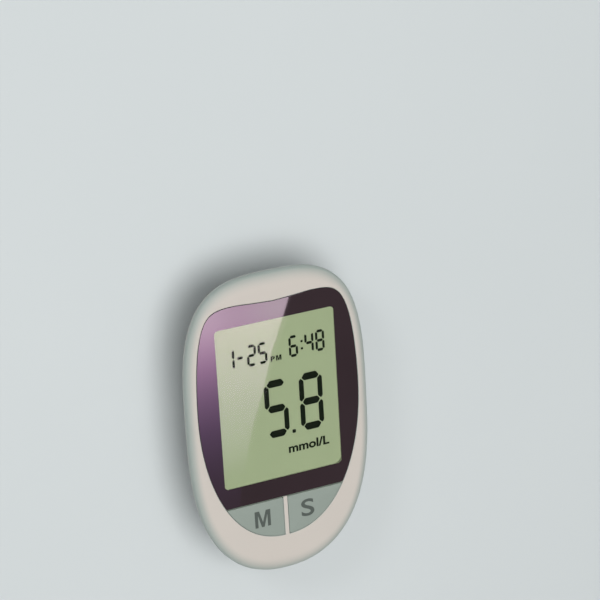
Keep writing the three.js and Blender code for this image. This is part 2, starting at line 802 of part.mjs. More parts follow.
// A contact plate across some of the bay's end, with a tab up to the board
function contactPlate([from, to], y, tabX) {
  const depth = [y - plate.thickness / 2, y + plate.thickness / 2];
  const tab = [tabX - plate.tabWidth / 2, tabX + plate.tabWidth / 2];
  return join(
    block([from, to], depth, [cellZ - plate.height / 2, cellZ + plate.height / 2]),
    block(tab, depth, [cellZ, partTop]),
  );
}

// The dimple that meets a cell's button, sunk in its plate; towards is 1 or -1 along Y
function plateDimple(x, y, towards) {
  const { radius, height, topShare } = dimple;
  const geometry = new THREE.CylinderGeometry(radius * topShare, radius, height, 14);
  geometry.translate(0, height / 2, 0);
  if (towards < 0) geometry.rotateX(Math.PI);
  geometry.translate(x, y, cellZ);
  return solid(geometry);
}

// The middle line of a conical coil, from inside its plate to short of a cell's flat end
function coilLine(x, y, towards, length) {
  const rise = length - spring.wireRadius;
  return (share) => {
    const angle = share * spring.turns * 2 * Math.PI;
    const radius = spring.baseRadius + (spring.tipRadius - spring.baseRadius) * share;
    return new THREE.Vector3(
      x + radius * Math.cos(angle),
      y + towards * rise * share,
      cellZ + radius * Math.sin(angle),
    );
  };
}

const coilSteps = 8;
function coil(x, y, towards, length) {
  const sides = 5;
  const steps = spring.turns * coilSteps;
  const line = coilLine(x, y, towards, length);
  const axis = new THREE.Vector3(x, 0, cellZ);
  const nudgeShare = 1e-3;
  const positions = [];
  for (let i = 0; i <= steps; i++) {
    const centre = line(i / steps);
    const along = line(i / steps + nudgeShare).sub(line(i / steps - nudgeShare)).normalize();
    const out = centre.clone().sub(axis).setY(0).normalize();
    const side = new THREE.Vector3().crossVectors(along, out).normalize();
    for (let j = 0; j < sides; j++) {
      const turn = (j / sides) * 2 * Math.PI;
      const p = centre
        .clone()
        .addScaledVector(out, spring.wireRadius * Math.cos(turn))
        .addScaledVector(side, spring.wireRadius * Math.sin(turn));
      positions.push(...p);
    }
  }
  const index = [];
  for (let i = 0; i < steps; i++) {
    for (let j = 0; j < sides; j++) {
      const a = i * sides + j;
      const b = i * sides + ((j + 1) % sides);
      index.push(a, b, a + sides, b, b + sides, a + sides);
    }
  }
  const end = steps * sides;
  for (let j = 1; j < sides - 1; j++) index.push(0, j + 1, j, end, end + j, end + j + 1);
  return solid(indexed(positions, index));
}

// The least gap between the turns of a coil, measured on points of its middle line
function leastCoilGap(length) {
  const line = coilLine(0, 0, 1, length);
  const count = spring.turns * coilSteps;
  const points = Array.from({ length: count + 1 }, (_, i) => line(i / count));
  const gaps = points.flatMap((p, i) => points.slice(i + coilSteps / 2).map((q) => p.distanceTo(q)));
  return Math.min(...gaps) - 2 * spring.wireRadius;
}

const springLength = leftCellY - spring.cellGap - plateLowY;

function bridgeContact() {
  return join(
    contactPlate([-cellX - plate.halfWidth, cellX + plate.halfWidth], plateLowY, 0),
    coil(-cellX, plateLowY, 1, springLength),
    plateDimple(cellX, plateLowY, 1),
  );
}

function negativeContact() {
  const length = plateTopY - spring.cellGap - (rightCellY + cell.length);
  return join(
    contactPlate([cellX - plate.halfWidth, cellX + plate.halfWidth], plateTopY, cellX),
    coil(cellX, plateTopY, -1, length),
  );
}

function positiveContact() {
  return join(
    contactPlate([-cellX - plate.halfWidth, -cellX + plate.halfWidth], plateTopY, -cellX),
    plateDimple(-cellX, plateTopY, -1),
  );
}

// A screw that points up, under the face that it clamps, with a cross recess in its head
function screwBody(screw, [x, y], clampZ) {
  const low = clampZ - seat - screw.head;
  const under = low + screw.head;
  const tip = under + screw.length;
  const profile = turned(
    [
      [0, low],
      [screw.headRadius * screwShares.chamfer, low],
      [screw.headRadius, low + screw.head * screwShares.chamferHeight],
      [screw.headRadius, under],
      [screw.shankRadius, under],
      [screw.shankRadius, tip - screw.shankRadius],
      [screw.shankRadius * screwShares.tip, tip],
      [0, tip],
    ],
    16,
  );
  profile.rotateX(Math.PI / 2);
  profile.translate(x, y, 0);
  const long = screw.headRadius * screwShares.recess;
  const wide = screw.slot / 2;
  const depth = [low - overrun, low + screw.slotDepth];
  return cut(
    solid(profile),
    block([x - long, x + long], [y - wide, y + wide], depth),
    block([x - wide, x + wide], [y - long, y + long], depth),
  );
}

add("front_case", frontCase(), materials.white);
add("rear_case", rearCase(), materials.white);
add("battery_door", batteryDoor(), materials.white);
add("display_lens", displayLens(), materials.print);
add("lens_tape", lensTape(), materials.black);

add("rubber_sheet", rubberSheet(), materials.rubber);
for (const [side, name] of [[-1, "left"], [1, "right"]]) {
  add(`${name}_key`, keyCap(side), materials.key);
  for (const [part, shape] of [["plunger", plunger()], ["dome", domeWeb()]]) {
    const mesh = add(`${name}_${part}`, shape, materials.rubber);
    mesh.rotation.x = Math.PI / 2;
    mesh.position.set(side * switchX, switchY, 0);
  }
}

add("lcd_front_glass", displaySheet(frontGlassLow, lcd.glass, lcd.contactLedge), materials.glass);
add("lcd_rear_glass", displaySheet(rearGlassLow, lcd.glass), materials.glass);
add("lcd_reflector", displaySheet(reflectorLow, lcd.reflector), materials.film);
add("lcd_frame", lcdFrame(), materials.frame);
add("zebra_strip", zebraStrip(), materials.dark);
add("main_board", circuitBoard(), materials.board);

// The middle of the room between the bay and the case's side, for a piece that hangs down to a level
const besideBay = (low) => (bayOuter + caseHalf - hullInset(low, towardsSide) - shell.wall) / 2;
const chipRowY = postY + post.radius + sideGap + chip.legReach + chip.size / 2;
const controller = { width: chip.size, length: chip.size, height: chip.height, legs: chip.legs };
const controllerChip = add("controller_chip", chipBody(controller, true), materials.black);
controllerChip.position.set(-besideBay(partTop - chip.height), chipRowY, 0);
const amplifierChip = add("amplifier_chip", chipBody(amplifier, false), materials.black);
amplifierChip.position.set(besideBay(partTop - amplifier.height), chipRowY, 0);

const belowPostY = postY - post.radius - sideGap;
const crystalX = bayOuter + sideGap + crystal.radius;
const crystalCan = add(
  "crystal_can",
  turned([[0, 0], [crystal.radius, 0], [crystal.radius, crystal.length], [0, crystal.length]]),
  materials.steel,
);
crystalCan.position.set(crystalX, belowPostY - crystal.length, partTop - fit - crystal.radius);

const beeperX = besideBay(partTop - beeper.height);
add("beeper", beeperBody([-beeperX, belowPostY - beeper.radius]), materials.black);
const capacitorY = belowPostY - crystal.length - capacitor.gap - capacitor.radius;
const capacitorPlace = [bayOuter + sideGap + capacitor.radius, capacitorY];
const capacitorBody = rod(capacitor.radius, capacitorPlace, partTop - capacitor.height, partTop);
add("supply_capacitor", capacitorBody, materials.dark);

add("strip_socket", stripSocket(), materials.frame);
for (let i = 0; i < contact.count; i++) {
  const leaf = add(`strip_contact_${i + 1}`, stripContact(), materials.gold);
  leaf.position.x = (i - (contact.count - 1) / 2) * contact.pitch;
}
add("port_collar", portCollar(), materials.key);

const leftCell = add("battery_cell_1", batteryCell(), materials.cell);
leftCell.position.set(-cellX, leftCellY, cellZ);
const rightCell = add("battery_cell_2", batteryCell(), materials.cell);
rightCell.rotation.x = Math.PI;
rightCell.position.set(cellX, rightCellY + cell.length, cellZ);

add("battery_bridge", bridgeContact(), materials.steel);
add("battery_negative", negativeContact(), materials.steel);
add("battery_positive", positiveContact(), materials.steel);
console.log(`least gap between a battery spring's turns: ${leastCoilGap(springLength).toFixed(2)} mm`);

caseScrewPlaces.forEach((place, i) =>
  add(`case_screw_${i + 1}`, screwBody(caseScrew, place, screwSeatZ), materials.steel),
);
boardScrewPlaces.forEach((place, i) =>
  add(`board_screw_${i + 1}`, screwBody(boardScrew, place, boardLow), materials.steel),
);
add("back_label", labelBody(0, seat), materials.label);

export default group;
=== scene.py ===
import json
import math

import bmesh
import bpy
import numpy as np
from mathutils import Matrix, Vector


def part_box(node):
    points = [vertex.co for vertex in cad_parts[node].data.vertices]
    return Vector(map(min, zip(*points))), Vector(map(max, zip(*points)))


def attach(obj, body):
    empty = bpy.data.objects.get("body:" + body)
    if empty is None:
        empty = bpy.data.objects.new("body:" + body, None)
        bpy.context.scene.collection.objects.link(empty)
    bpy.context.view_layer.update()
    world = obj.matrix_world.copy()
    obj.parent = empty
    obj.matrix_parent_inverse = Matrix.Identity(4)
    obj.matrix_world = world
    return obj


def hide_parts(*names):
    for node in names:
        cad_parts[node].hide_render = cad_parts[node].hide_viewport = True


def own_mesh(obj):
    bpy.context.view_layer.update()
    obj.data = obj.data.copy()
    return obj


print("stage: frame")
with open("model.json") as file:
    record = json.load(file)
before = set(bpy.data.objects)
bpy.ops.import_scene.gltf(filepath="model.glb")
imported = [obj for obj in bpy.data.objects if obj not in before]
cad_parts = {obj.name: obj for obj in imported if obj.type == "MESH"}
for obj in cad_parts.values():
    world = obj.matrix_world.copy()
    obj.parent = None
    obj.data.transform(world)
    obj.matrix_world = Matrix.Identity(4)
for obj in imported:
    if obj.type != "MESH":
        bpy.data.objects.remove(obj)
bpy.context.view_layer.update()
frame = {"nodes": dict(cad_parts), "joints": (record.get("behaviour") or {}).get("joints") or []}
nodes = frame["nodes"]
millimetre = 0.001


def boxOf(node):
    # the lowest and the highest corner of a frame node, in millimetres
    low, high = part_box(node)
    return np.array(low) / millimetre, np.array(high) / millimetre


def middleOf(node):
    return sum(boxOf(node)) / 2


frontLow, frontHigh = boxOf("front_case")
lensLow, lensHigh = boxOf("display_lens")
keyLow, keyHigh = boxOf("right_key")
labelLow, labelHigh = boxOf("back_label")
labelMiddle, labelHalf = middleOf("back_label")[:2], (labelHigh - labelLow)[:2] / 2
glassTop = boxOf("lcd_front_glass")[1][2]

# What a user would change on the case; the places come from the frame
case = dict(
    sideRoll=3.3,
    endRoll=5.0,
    rollShare=0.98,  # the most of the band beside the lens that the roll may take
    rimDepth=2.2,
    rimRound=1.2,
    footRoll=3.4,
    lean=0.47,  # how far the wall leans in per length towards the back
    cornerLean=0.35,
    seamRound=0.12,
    openingRound=0.18,
    lipWall=0.65,
    lipHeight=1.0,  # the rear's lip, which reaches up inside the front's wall
    columns=360,
)
wall, fit, seat = 1.6, 0.2, 0.1
lensGap, keyGap = 0.07, 0.06  # the fine lines round the lens and the key caps
far = 120.0  # well past the part, for cuts that run out of it
faceZ = frontHigh[2]
rimZ = faceZ - case["rimDepth"]
seamZ = frontLow[2] - seat
innerFaceZ = faceZ - wall
lensTop = 40.1
keysLow = keyLow[1] + 0.8
chinY = lensLow[1] - fit
keyTravel = frame["joints"][0]["range_m"][1] / millimetre
keyFlange = 0.8  # how far a key's flange reaches under the case
view = dict(half=19.5, low=-17.3, top=33.5, corner=1.3, margin=1.0)


# Outlines, anticlockwise seen from the face, as arrays of X and Y


def egg(half, low, top, wideShare, powers, count=2880):
    # two superellipse halves on one widest level: x = half * c^(2/px), y = wide + reach * s^(2/py)
    angle = np.arange(count) / count * 2 * np.pi - np.pi / 2
    c, s = np.cos(angle), np.sin(angle)
    wide = low + (top - low) * wideShare
    upper = s > 0
    xPower = np.where(upper, powers[0], powers[2])
    yPower = np.where(upper, powers[1], powers[3])
    reach = np.where(upper, top - wide, wide - low)
    x = half * np.sign(c) * np.abs(c) ** (2 / xPower)
    y = wide + reach * np.sign(s) * np.abs(s) ** (2 / yPower)
    return np.stack([x, y], -1)


def stepsOf(line):
    # the lengths of a closed line's sides
    return np.linalg.norm(np.roll(line, -1, axis=0) - line, axis=1)


def shareOf(line):
    # each point's own share of its closed line
    steps = stepsOf(line)
    return np.concatenate([[0.0], np.cumsum(steps)[:-1]]) / steps.sum()


def lineAt(line, shares):
    # the points of a closed line at shares of its length
    loop = np.vstack([line, line[:1]])
    along = np.append(shareOf(line), 1.0)
    wrapped = np.mod(shares, 1.0)
    return np.stack([np.interp(wrapped, along, loop[:, k]) for k in (0, 1)], -1)


def unit(ways):
    return ways / np.linalg.norm(ways, axis=1, keepdims=True)


def normals(ahead):
    # the outward normals of an anticlockwise line that runs these ways
    x, y = unit(ahead).T
    return np.stack([y, -x], -1)


def outwardAt(line, shares, reach=0.002):
    return normals(lineAt(line, shares + reach) - lineAt(line, shares - reach))


def inward(line, distance):
    return line - distance * normals(np.roll(line, -1, axis=0) - np.roll(line, 1, axis=0))


def shareWhere(line, x, low, high):
    # the share of the line's length, between two shares, where it crosses a place on X
    shares = np.linspace(low, high, 20000)
    return shares[np.argmin(np.abs(lineAt(line, shares)[:, 0] - x))]


def softened(line, width, count=2400):
    # corners rounded by a running mean: each point becomes the mean of a stretch of its line
    points = lineAt(line, np.arange(count) / count)
    reach = max(1, round(width / stepsOf(line).sum() * count / 2))
    total = np.cumsum(np.vstack([[[0, 0]], points[-reach:], points, points[:reach]]), axis=0)
    return (total[2 * reach + 1:] - total[:-2 * reach - 1]) / (2 * reach + 1)


def roundedBox(halfX, halfY, corner, middle=(0.0, 0.0), steps=8):
    # four quarter circles, joined by straight sides
    turns = np.linspace(0, np.pi / 2, steps)
    angle = np.concatenate([turns + i * np.pi / 2 for i in range(-1, 3)])
    centres = np.array([(1, -1), (1, 1), (-1, 1), (-1, -1)]) * [halfX - corner, halfY - corner]
    arcs = corner * np.stack([np.cos(angle), np.sin(angle)], -1)
    return np.repeat(centres, steps, axis=0) + arcs + np.array(middle)


def circle(radius, count=48):
    angle = np.arange(count) / count * 2 * np.pi
    return radius * np.stack([np.cos(angle), np.sin(angle)], -1)


def rounded(radius, count=5):
    # a quarter round from its top to its side, as pairs of inset r(1 - sin a) and drop r(1 - cos a)
    turns = np.linspace(0, np.pi / 2, count)
    return [(radius * (1 - math.sin(a)), radius * (1 - math.cos(a))) for a in turns]


def anglesOf(line, middle):
    away = line - np.array(middle)
    return np.arctan2(away[:, 1], away[:, 0])


def seenFrom(line, middle, angles):
    # where rays from a middle point meet a closed line round it
    turn = np.unwrap(anglesOf(line, middle))
    turn = np.append(turn, turn[0] + 2 * np.pi)
    away = np.vstack([line, line[:1]]) - np.array(middle)
    asked = turn[0] + np.mod(angles - turn[0], 2 * np.pi)
    i = np.clip(np.searchsorted(turn, asked, side="right") - 1, 0, len(line) - 1)
    ray = np.stack([np.cos(angles), np.sin(angles)], -1)
    side = away[i + 1] - away[i]
    share = -np.cross(ray, away[i]) / np.cross(ray, side)
    return np.array(middle) + away[i] + share[:, None] * side


caseLine = egg(frontHigh[0], frontLow[1], frontHigh[1], 0.534, (3.1, 3.4, 2.25, 2.83))
lensLine = egg(lensHigh[0] + fit, keysLow, lensTop, 0.573, (9.2, 2.0, 2.25, 2.05))
dip = dict(depth=0.85, halfWidth=14.5)
across = np.abs(lensLine[:, 0]) / dip["halfWidth"]
dips = (lensLine[:, 1] > view["top"]) & (across < 1)
lensLine[:, 1] -= np.where(dips, dip["depth"] * (1 + np.cos(np.pi * across)) / 2, 0)
lensNormals = outwardAt(lensLine, shareOf(lensLine))


def lensGrown(distance):
    return lensLine + distance * lensNormals


# Columns round the case: evenly spaced, with a split one at each side of the port and of the bar
port = dict(half=7.2, low=10.25, high=14.45, flange=1.1)
bar = dict(half=0.75, round=0.22, sunk=0.015, edge=0.02)
notchShare = shareWhere(caseLine, port["half"] + fit, 0.35, 0.5)
barShare = shareWhere(lensLine, bar["half"], 0.0, 0.1)
splitShares = [notchShare, 1 - notchShare, barShare, 1 - barShare]
splitWidth = 2e-5
even = np.arange(case["columns"]) / case["columns"]
columns = np.sort(np.concatenate([even, *[[s - splitWidth, s + splitWidth] for s in splitShares]]))
inNotch = (columns > notchShare) & (columns < 1 - notchShare)
inBar = (columns < barShare) | (columns > 1 - barShare)
caseAt, caseOut = lineAt(caseLine, columns), outwardAt(caseLine, columns)
lensAt, lensOut = lineAt(lensLine, columns), outwardAt(lensLine, columns)


# Bodies: an array of points with blocks of quads and triangles


def gridBlock(rows, count, loop):
    # quads between rows of points that close on themselves; loop joins the last row to the first
    r = np.arange(rows if loop else rows - 1)[:, None]
    c = np.arange(count)[None, :]
    here, over = r * count, ((r + 1) % rows) * count
    beside = (c + 1) % count
    return np.stack([here + c, here + beside, over + beside, over + c], -1).reshape(-1, 4)


def facingOut(points, blocks):
    # turned round where the volume that the faces enclose comes out below zero
    volume = 0.0
    for block in blocks:
        for k in range(2, block.shape[1]):
            a, b, c = (points[block[:, j]] for j in (0, k - 1, k))
            volume += np.einsum("ij,ij->i", a, np.cross(b, c)).sum()
    return points, [block[:, ::-1] for block in blocks] if volume < 0 else blocks


def ringBody(rings, loop=False):
    # rings of as many points each: a loop of rings closes on itself, others get a fan at both ends
    count = len(rings[0])
    points = np.vstack(rings)
    blocks = [gridBlock(len(rings), count, loop)]
    if not loop:
        c = np.arange(count)
        last = (len(rings) - 1) * count
        first, final = len(points), len(points) + 1
        points = np.vstack([points, rings[0].mean(0), rings[-1].mean(0)])
        blocks.append(np.stack([np.full(count, first), (c + 1) % count, c], -1))
        blocks.append(np.stack([np.full(count, final), last + c, last + (c + 1) % count], -1))
    return facingOut(points, blocks)


def joined(*bodies):
    points, blocks, start = [], [], 0
    for body, faces in bodies:
        points.append(body)
        blocks += [block + start for block in faces]
        start += len(body)
    return np.vstack(points), blocks


def flat(line, z):
    return np.column_stack([line, np.full(len(line), z)])


def prism(line, low, high):
    return ringBody([flat(line, low), flat(line, high)])


def softPrism(line, low, high, edge):
    # a prism whose edges are quarter rounds
    foot = [flat(inward(line, inset), low + drop) for inset, drop in rounded(edge)]
    top = [flat(inward(line, inset), high - drop) for inset, drop in rounded(edge)]
    return ringBody(foot + top[::-1])


def block(x, y, z):
    return prism(np.array([[x[0], y[0]], [x[1], y[0]], [x[1], y[1]], [x[0], y[1]]], float), *z)


def slab(half, y, z):
    return block((-half, half), y, z)


def turned(profile, count=64):
    # a profile of radius and height carried round the Z axis
    ring = circle(1.0, count)
    return ringBody([flat(ring * max(r, 1e-4), z) for r, z in profile])


def placed(body, axes=(0, 1, 2), signs=(1, 1, 1), at=(0, 0, 0)):
    # a body whose own axes become the named ones, with signs, then moved
    points, blocks = body
    return facingOut(points[:, list(axes)] * np.array(signs) + np.array(at), blocks)


def rod(radius, low, high, place, count):
    profile = [(0, low), (radius, low), (radius, high), (0, high)]
    return placed(turned(profile, count), at=(*place, 0))


def tube(line, radius, first, second, sides=12):
    # a round section carried along a line, with two unit vectors across it at each point
    x, y = circle(radius, sides).T[:, None, :, None]
    return ringBody(list(line[:, None] + x * first[:, None] + y * second[:, None]))


# Finishes: a socket given as an input is linked, anything else is its plain value


def fill(node, inputs):
    for name, value in inputs.items():
        if isinstance(value, bpy.types.NodeSocket):
            node.id_data.links.new(value, node.inputs[name])
        else:
            node.inputs[name].default_value = value
    return node


def newNode(tree, kind, inputs={}, **settings):
    node = tree.nodes.new(kind)
    for name, value in settings.items():
        setattr(node, name, value)
    return fill(node, inputs)


finishes = {}


def newFinish(name):
    material = bpy.data.materials.new(name)
    material.use_nodes = True
    finishes[name] = material
    return material.node_tree, material.node_tree.nodes["Principled BSDF"]


def place(tree, output="Object"):
    return newNode(tree, "ShaderNodeTexCoord").outputs[output]


def noise(tree, scale, detail=3.0, vector=None):
    return newNode(tree, "ShaderNodeTexNoise", {
        "Vector": vector or place(tree), "Scale": scale, "Detail": detail}).outputs["Fac"]


def ramp(tree, value, stops, interpolation="LINEAR"):
    # a colour ramp over a value: stops are (place, colour)
    node = newNode(tree, "ShaderNodeValToRGB", {"Fac": value})
    node.color_ramp.interpolation = interpolation
    elements = node.color_ramp.elements
    for i, (stop, colour) in enumerate(stops):
        element = elements[i] if i < 2 else elements.new(stop)
        element.position = stop
        element.color = (*colour, 1.0)
    return node.outputs["Color"]


def remapped(tree, value, low, high, fromLow=0.3, fromHigh=0.7):
    return newNode(tree, "ShaderNodeMapRange", {
        "Value": value, "From Min": fromLow, "From Max": fromHigh, "To Min": low, "To Max": high,
    }).outputs["Result"]


def bump(tree, height, distance, strength=1.0):
    return newNode(tree, "ShaderNodeBump", {
        "Height": height, "Distance": distance, "Strength": strength}).outputs["Normal"]


def shaded(colour, share):
    return tuple(c * share for c in colour)


def mouldedFinish(name, roughness, grain=9000.0, depth=6e-6, spread=0.03, mottle=60.0,
                  metallic=0.0, specular=0.5):
    # moulded plastic or metal: a cloudy tone, a roughness that wanders and a fine grain
    tree, shader = newFinish(name)
    colour = colours[name]
    tones = [(0.3, shaded(colour, 1 - spread)), (0.7, colour)]
    wander = noise(tree, mottle * 6)
    fill(shader, {
        "Base Color": ramp(tree, noise(tree, mottle, 4.0), tones),
        "Roughness": remapped(tree, wander, roughness - 0.04, roughness + 0.04),
        "Normal": bump(tree, noise(tree, grain, 2.0), depth),
        "Metallic": metallic,
        "Specular IOR Level": specular,
    })
    return tree, shader


# How much painted shade, a cooler and darker tone, the case takes at each height of its own normal's Z
paintedShadeShares = [(-1.0, 0.0), (-0.75, 0.15), (-0.45, 0.3), (0.0, 0.8), (0.3, 1.0), (0.76, 0.99), (0.845, 0.9),
              (0.9, 0.79), (0.935, 0.65), (0.96, 0.48), (0.978, 0.31), (0.99, 0.18), (1.0, 0.0)]


def paintedShadeCasingFinish(name, roughness):
    # painted shade: the face's warm white turns cooler and darker as its own normal leans away from straight
    # up
    tree, shader = mouldedFinish(name, roughness, spread=0.02)
    normal = newNode(tree, "ShaderNodeSeparateXYZ", {"Vector": place(tree, "Normal")})
    upright = remapped(tree, normal.outputs["Z"], 0.0, 1.0, -1.0, 1.0)
    # the painted shade's tones, multiplied into the mottled white, strongest on the rim and the flanks
    stops = [((z + 1) / 2, tuple(1 - share * (1 - c) for c in colours["caseRimPaintedShade"]))
             for z, share in paintedShadeShares]
    both = newNode(tree, "ShaderNodeMix", data_type="RGBA", blend_type="MULTIPLY")
    face = shader.inputs["Base Color"].links[0].from_socket
    fill(both, {"Factor": 1.0, 6: face, 7: ramp(tree, upright, stops)})
    fill(shader, {"Base Color": both.outputs[2]})


def glossyFinish(name, cloud, tones, waves, more={}):
    # a smooth front over a faintly cloudy tone: cloud is (scale, detail), tones are (place, share of
    # the colour), waves is (scale, distance, strength)
    tree, shader = newFinish(name)
    stops = [(at, shaded(colours[name], share)) for at, share in tones]
    fill(shader, {
        "Base Color": ramp(tree, noise(tree, *cloud), stops),
        "Roughness": 0.02,
        "Normal": bump(tree, noise(tree, waves[0], 1.0), *waves[1:]),
        **more,
    })


def windowFinish(name):
    # clear acrylic that mirrors little; lamp rays and rays that the display scatters go straight through
    tree, shader = newFinish(name)
    fill(shader, {
        "Base Color": (*colours[name], 1), "Roughness": 0.0, "Transmission Weight": 1.0, "IOR": 1.12})
    path = newNode(tree, "ShaderNodeLightPath").outputs
    passing = newNode(tree, "ShaderNodeMath", {0: path["Is Shadow Ray"], 1: path["Is Diffuse Ray"]},
                      operation="MAXIMUM")
    clear = newNode(tree, "ShaderNodeBsdfTransparent")
    mix = newNode(tree, "ShaderNodeMixShader", {
        "Fac": passing.outputs["Value"], 1: shader.outputs["BSDF"], 2: clear.outputs["BSDF"]})
    fill(tree.nodes["Material Output"], {"Surface": mix.outputs["Shader"]})


def boardFinish(name):
    # solder mask over tracks: a fine brick grid gives tracks and pads a raised, paler green
    tree, shader = newFinish(name)
    tones = {slot: (*shaded(colours[name], share), 1)
             for slot, share in (("Color1", 1.0), ("Color2", 0.8), ("Mortar", 1.9))}
    tracks = newNode(tree, "ShaderNodeTexBrick", {
        "Vector": place(tree), "Scale": 210.0, "Mortar Size": 0.035, **tones}).outputs
    fill(shader, {
        "Base Color": tracks["Color"],
        "Roughness": remapped(tree, noise(tree, 400.0), 0.25, 0.4),
        "Normal": bump(tree, tracks["Fac"], 2e-5, 0.6),
    })


def brushedFinish(name, roughness, stretch=(900.0, 40.0, 900.0)):
    # metal or foil with fine lines along one way
    tree, shader = newFinish(name)
    along = newNode(tree, "ShaderNodeMapping", {"Vector": place(tree), "Scale": stretch})
    lines = noise(tree, 8.0, vector=along.outputs["Vector"])
    colour = colours[name]
    fill(shader, {
        "Base Color": ramp(tree, lines, [(0.3, shaded(colour, 0.88)), (0.7, colour)]),
        "Roughness": remapped(tree, lines, roughness - 0.06, roughness + 0.08),
        "Metallic": 1.0,
        "Normal": bump(tree, lines, 4e-6, 0.6),
    })


def cellWrapFinish(name):
    # a printed sleeve between bare metal ends; the place along the cell is the mesh's own attribute
    tree, shader = newFinish(name)
    along = newNode(tree, "ShaderNodeAttribute", attribute_name="along").outputs["Fac"]
    steel, blue, silver = (0.60, 0.60, 0.59), (0.020, 0.060, 0.200), (0.52, 0.53, 0.55)
    bands = [(0.0, steel, 1.0), (0.022, blue, 0.0), (0.70, silver, 0.8), (0.74, blue, 0.0),
             (0.77, silver, 0.8), (0.965, steel, 1.0)]
    tones = [(at, tone) for at, tone, metal in bands]
    metals = [(at, (metal, metal, metal)) for at, tone, metal in bands]
    fill(shader, {
        "Base Color": ramp(tree, along, tones, "CONSTANT"),
        "Metallic": ramp(tree, along, metals, "CONSTANT"),
        "Roughness": remapped(tree, noise(tree, 300.0), 0.24, 0.34),
        "Normal": bump(tree, noise(tree, 900.0, 2.0), 4e-6),
    })


print("stage: finishes")
colours = dict(
    caseWhite=(0.598, 0.551, 0.512),
    # the painted shade's tone on the case's rim and flanks, multiplied into its white
    caseRimPaintedShade=(0.600, 0.735, 0.750),
    lensPrint=(0.039, 0.026, 0.031),
    windowAcrylic=(0.985, 0.99, 0.985),
    windowLedge=(0.29, 0.33, 0.22),
    lensTape=(0.30, 0.32, 0.25),
    keyGrey=(0.285, 0.330, 0.300),
    keyLetter=(0.084, 0.101, 0.092),
    displayGlass=(0.346, 0.411, 0.250),
    displayInk=(0.006, 0.010, 0.005),
    reflectorFilm=(0.62, 0.64, 0.52),
    portGrey=(0.335, 0.375, 0.355),
    innerPlastic=(0.62, 0.62, 0.58),
    switchRubber=(0.50, 0.52, 0.50),
    zebraRubber=(0.09, 0.09, 0.10),
    boardGreen=(0.010, 0.120, 0.045),
    chipBlack=(0.012, 0.012, 0.013),
    sleeveDark=(0.05, 0.06, 0.09),
    contactSteel=(0.58, 0.58, 0.57),
    screwSteel=(0.58, 0.58, 0.57),
    contactGold=(0.76, 0.52, 0.20),
    labelFoil=(0.62, 0.63, 0.64),
)
paintedShadeCasingFinish("caseWhite", 0.40)
glossyFinish("lensPrint", (45.0, 3.0), [(0.3, 0.9), (0.7, 1.0)], (30.0, 1.5e-6, 0.5), {"IOR": 1.49})
glossyFinish("displayGlass", (70.0, 4.0), [(0.25, 0.965), (0.75, 1.0)], (40.0, 1e-6, 0.4))
windowFinish("windowAcrylic")
mouldedFinish("windowLedge", 0.7)
mouldedFinish("lensTape", 0.8)
mouldedFinish("keyGrey", 0.46, grain=7000.0, depth=8e-6)
mouldedFinish("keyLetter", 0.5, spread=0.05)
mouldedFinish("displayInk", 0.6, depth=1e-6, spread=0.1, specular=0.1)
mouldedFinish("reflectorFilm", 0.35)
mouldedFinish("portGrey", 0.42)
mouldedFinish("innerPlastic", 0.5)
mouldedFinish("switchRubber", 0.75, spread=0.06)
mouldedFinish("zebraRubber", 0.7, spread=0.2, mottle=900.0)
boardFinish("boardGreen")
mouldedFinish("chipBlack", 0.5, spread=0.15)
mouldedFinish("sleeveDark", 0.4, spread=0.1)
brushedFinish("contactSteel", 0.30)
mouldedFinish("screwSteel", 0.28, metallic=1.0, spread=0.1)
brushedFinish("contactGold", 0.28)
cellWrapFinish("cellWrap")
brushedFinish("labelFoil", 0.42, (60.0, 900.0, 900.0))


# Pieces


def linked(name, data):
    thing = bpy.data.objects.new(name, data)
    bpy.context.scene.collection.objects.link(thing)
    return thing


def meshOf(body):
    points, blocks = body
    mesh = bpy.data.meshes.new("work")
    faces = [face for rows in blocks for face in rows.tolist()]
    mesh.from_pydata((points * millimetre).tolist(), [], faces)
    mesh.update()
    return mesh


def painted(mesh, finish):
    mesh.materials.clear()
    mesh.materials.append(finishes[finish])


def newPiece(name, mesh, finish, smooth=32):
    mesh.name = name
    mesh.polygons.foreach_set("use_smooth", np.ones(len(mesh.polygons), bool))
    mesh.set_sharp_from_angle(angle=math.radians(smooth))
    painted(mesh, finish)
    return linked(name, mesh)


def dress(piece, body, slot, *replaced):
    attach(piece, body)
    if replaced:
        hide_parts(*replaced)
    return piece


def made(name, body, finish, *dressing):
    return dress(newPiece(name, meshOf(body), finish), *dressing)


def evenShading(piece):
    # keeps large flat faces flat beside narrow rounds
    weighted = piece.modifiers.new("even shading", "WEIGHTED_NORMAL")
    weighted.keep_sharp = True
    weighted.weight = 90
    return piece


def softEdges(piece, width):
    bevel = piece.modifiers.new("soft edges", "BEVEL")
    bevel.width = width * millimetre
    bevel.segments = 2
    bevel.limit_method = "ANGLE"
    bevel.angle_limit = math.radians(50)
    piece.modifiers.move(1, 0)


add, cut, trim = "UNION", "DIFFERENCE", "INTERSECT"


def solid(body, steps):
    # a body joined, cut or trimmed in turn by others, which are bodies or meshes made by this function
    piece = linked("work", meshOf(body))
    for operation, other in steps:
        tool = linked("tool", meshOf(other) if isinstance(other, tuple) else other)
        change = piece.modifiers.new("carve", "BOOLEAN")
        change.operation = operation
        change.solver = "MANIFOLD"
        change.object = tool
        evaluated = piece.evaluated_get(bpy.context.evaluated_depsgraph_get())
        mesh = bpy.data.meshes.new_from_object(evaluated)
        piece.modifiers.clear()
        piece.data = mesh
        bpy.data.objects.remove(tool)
    bpy.data.objects.remove(piece)
    return mesh


def remeshed(mesh, operations):
    work = bmesh.new()
    work.from_mesh(mesh)
    operations(work)
    work.to_mesh(mesh)
    work.free()


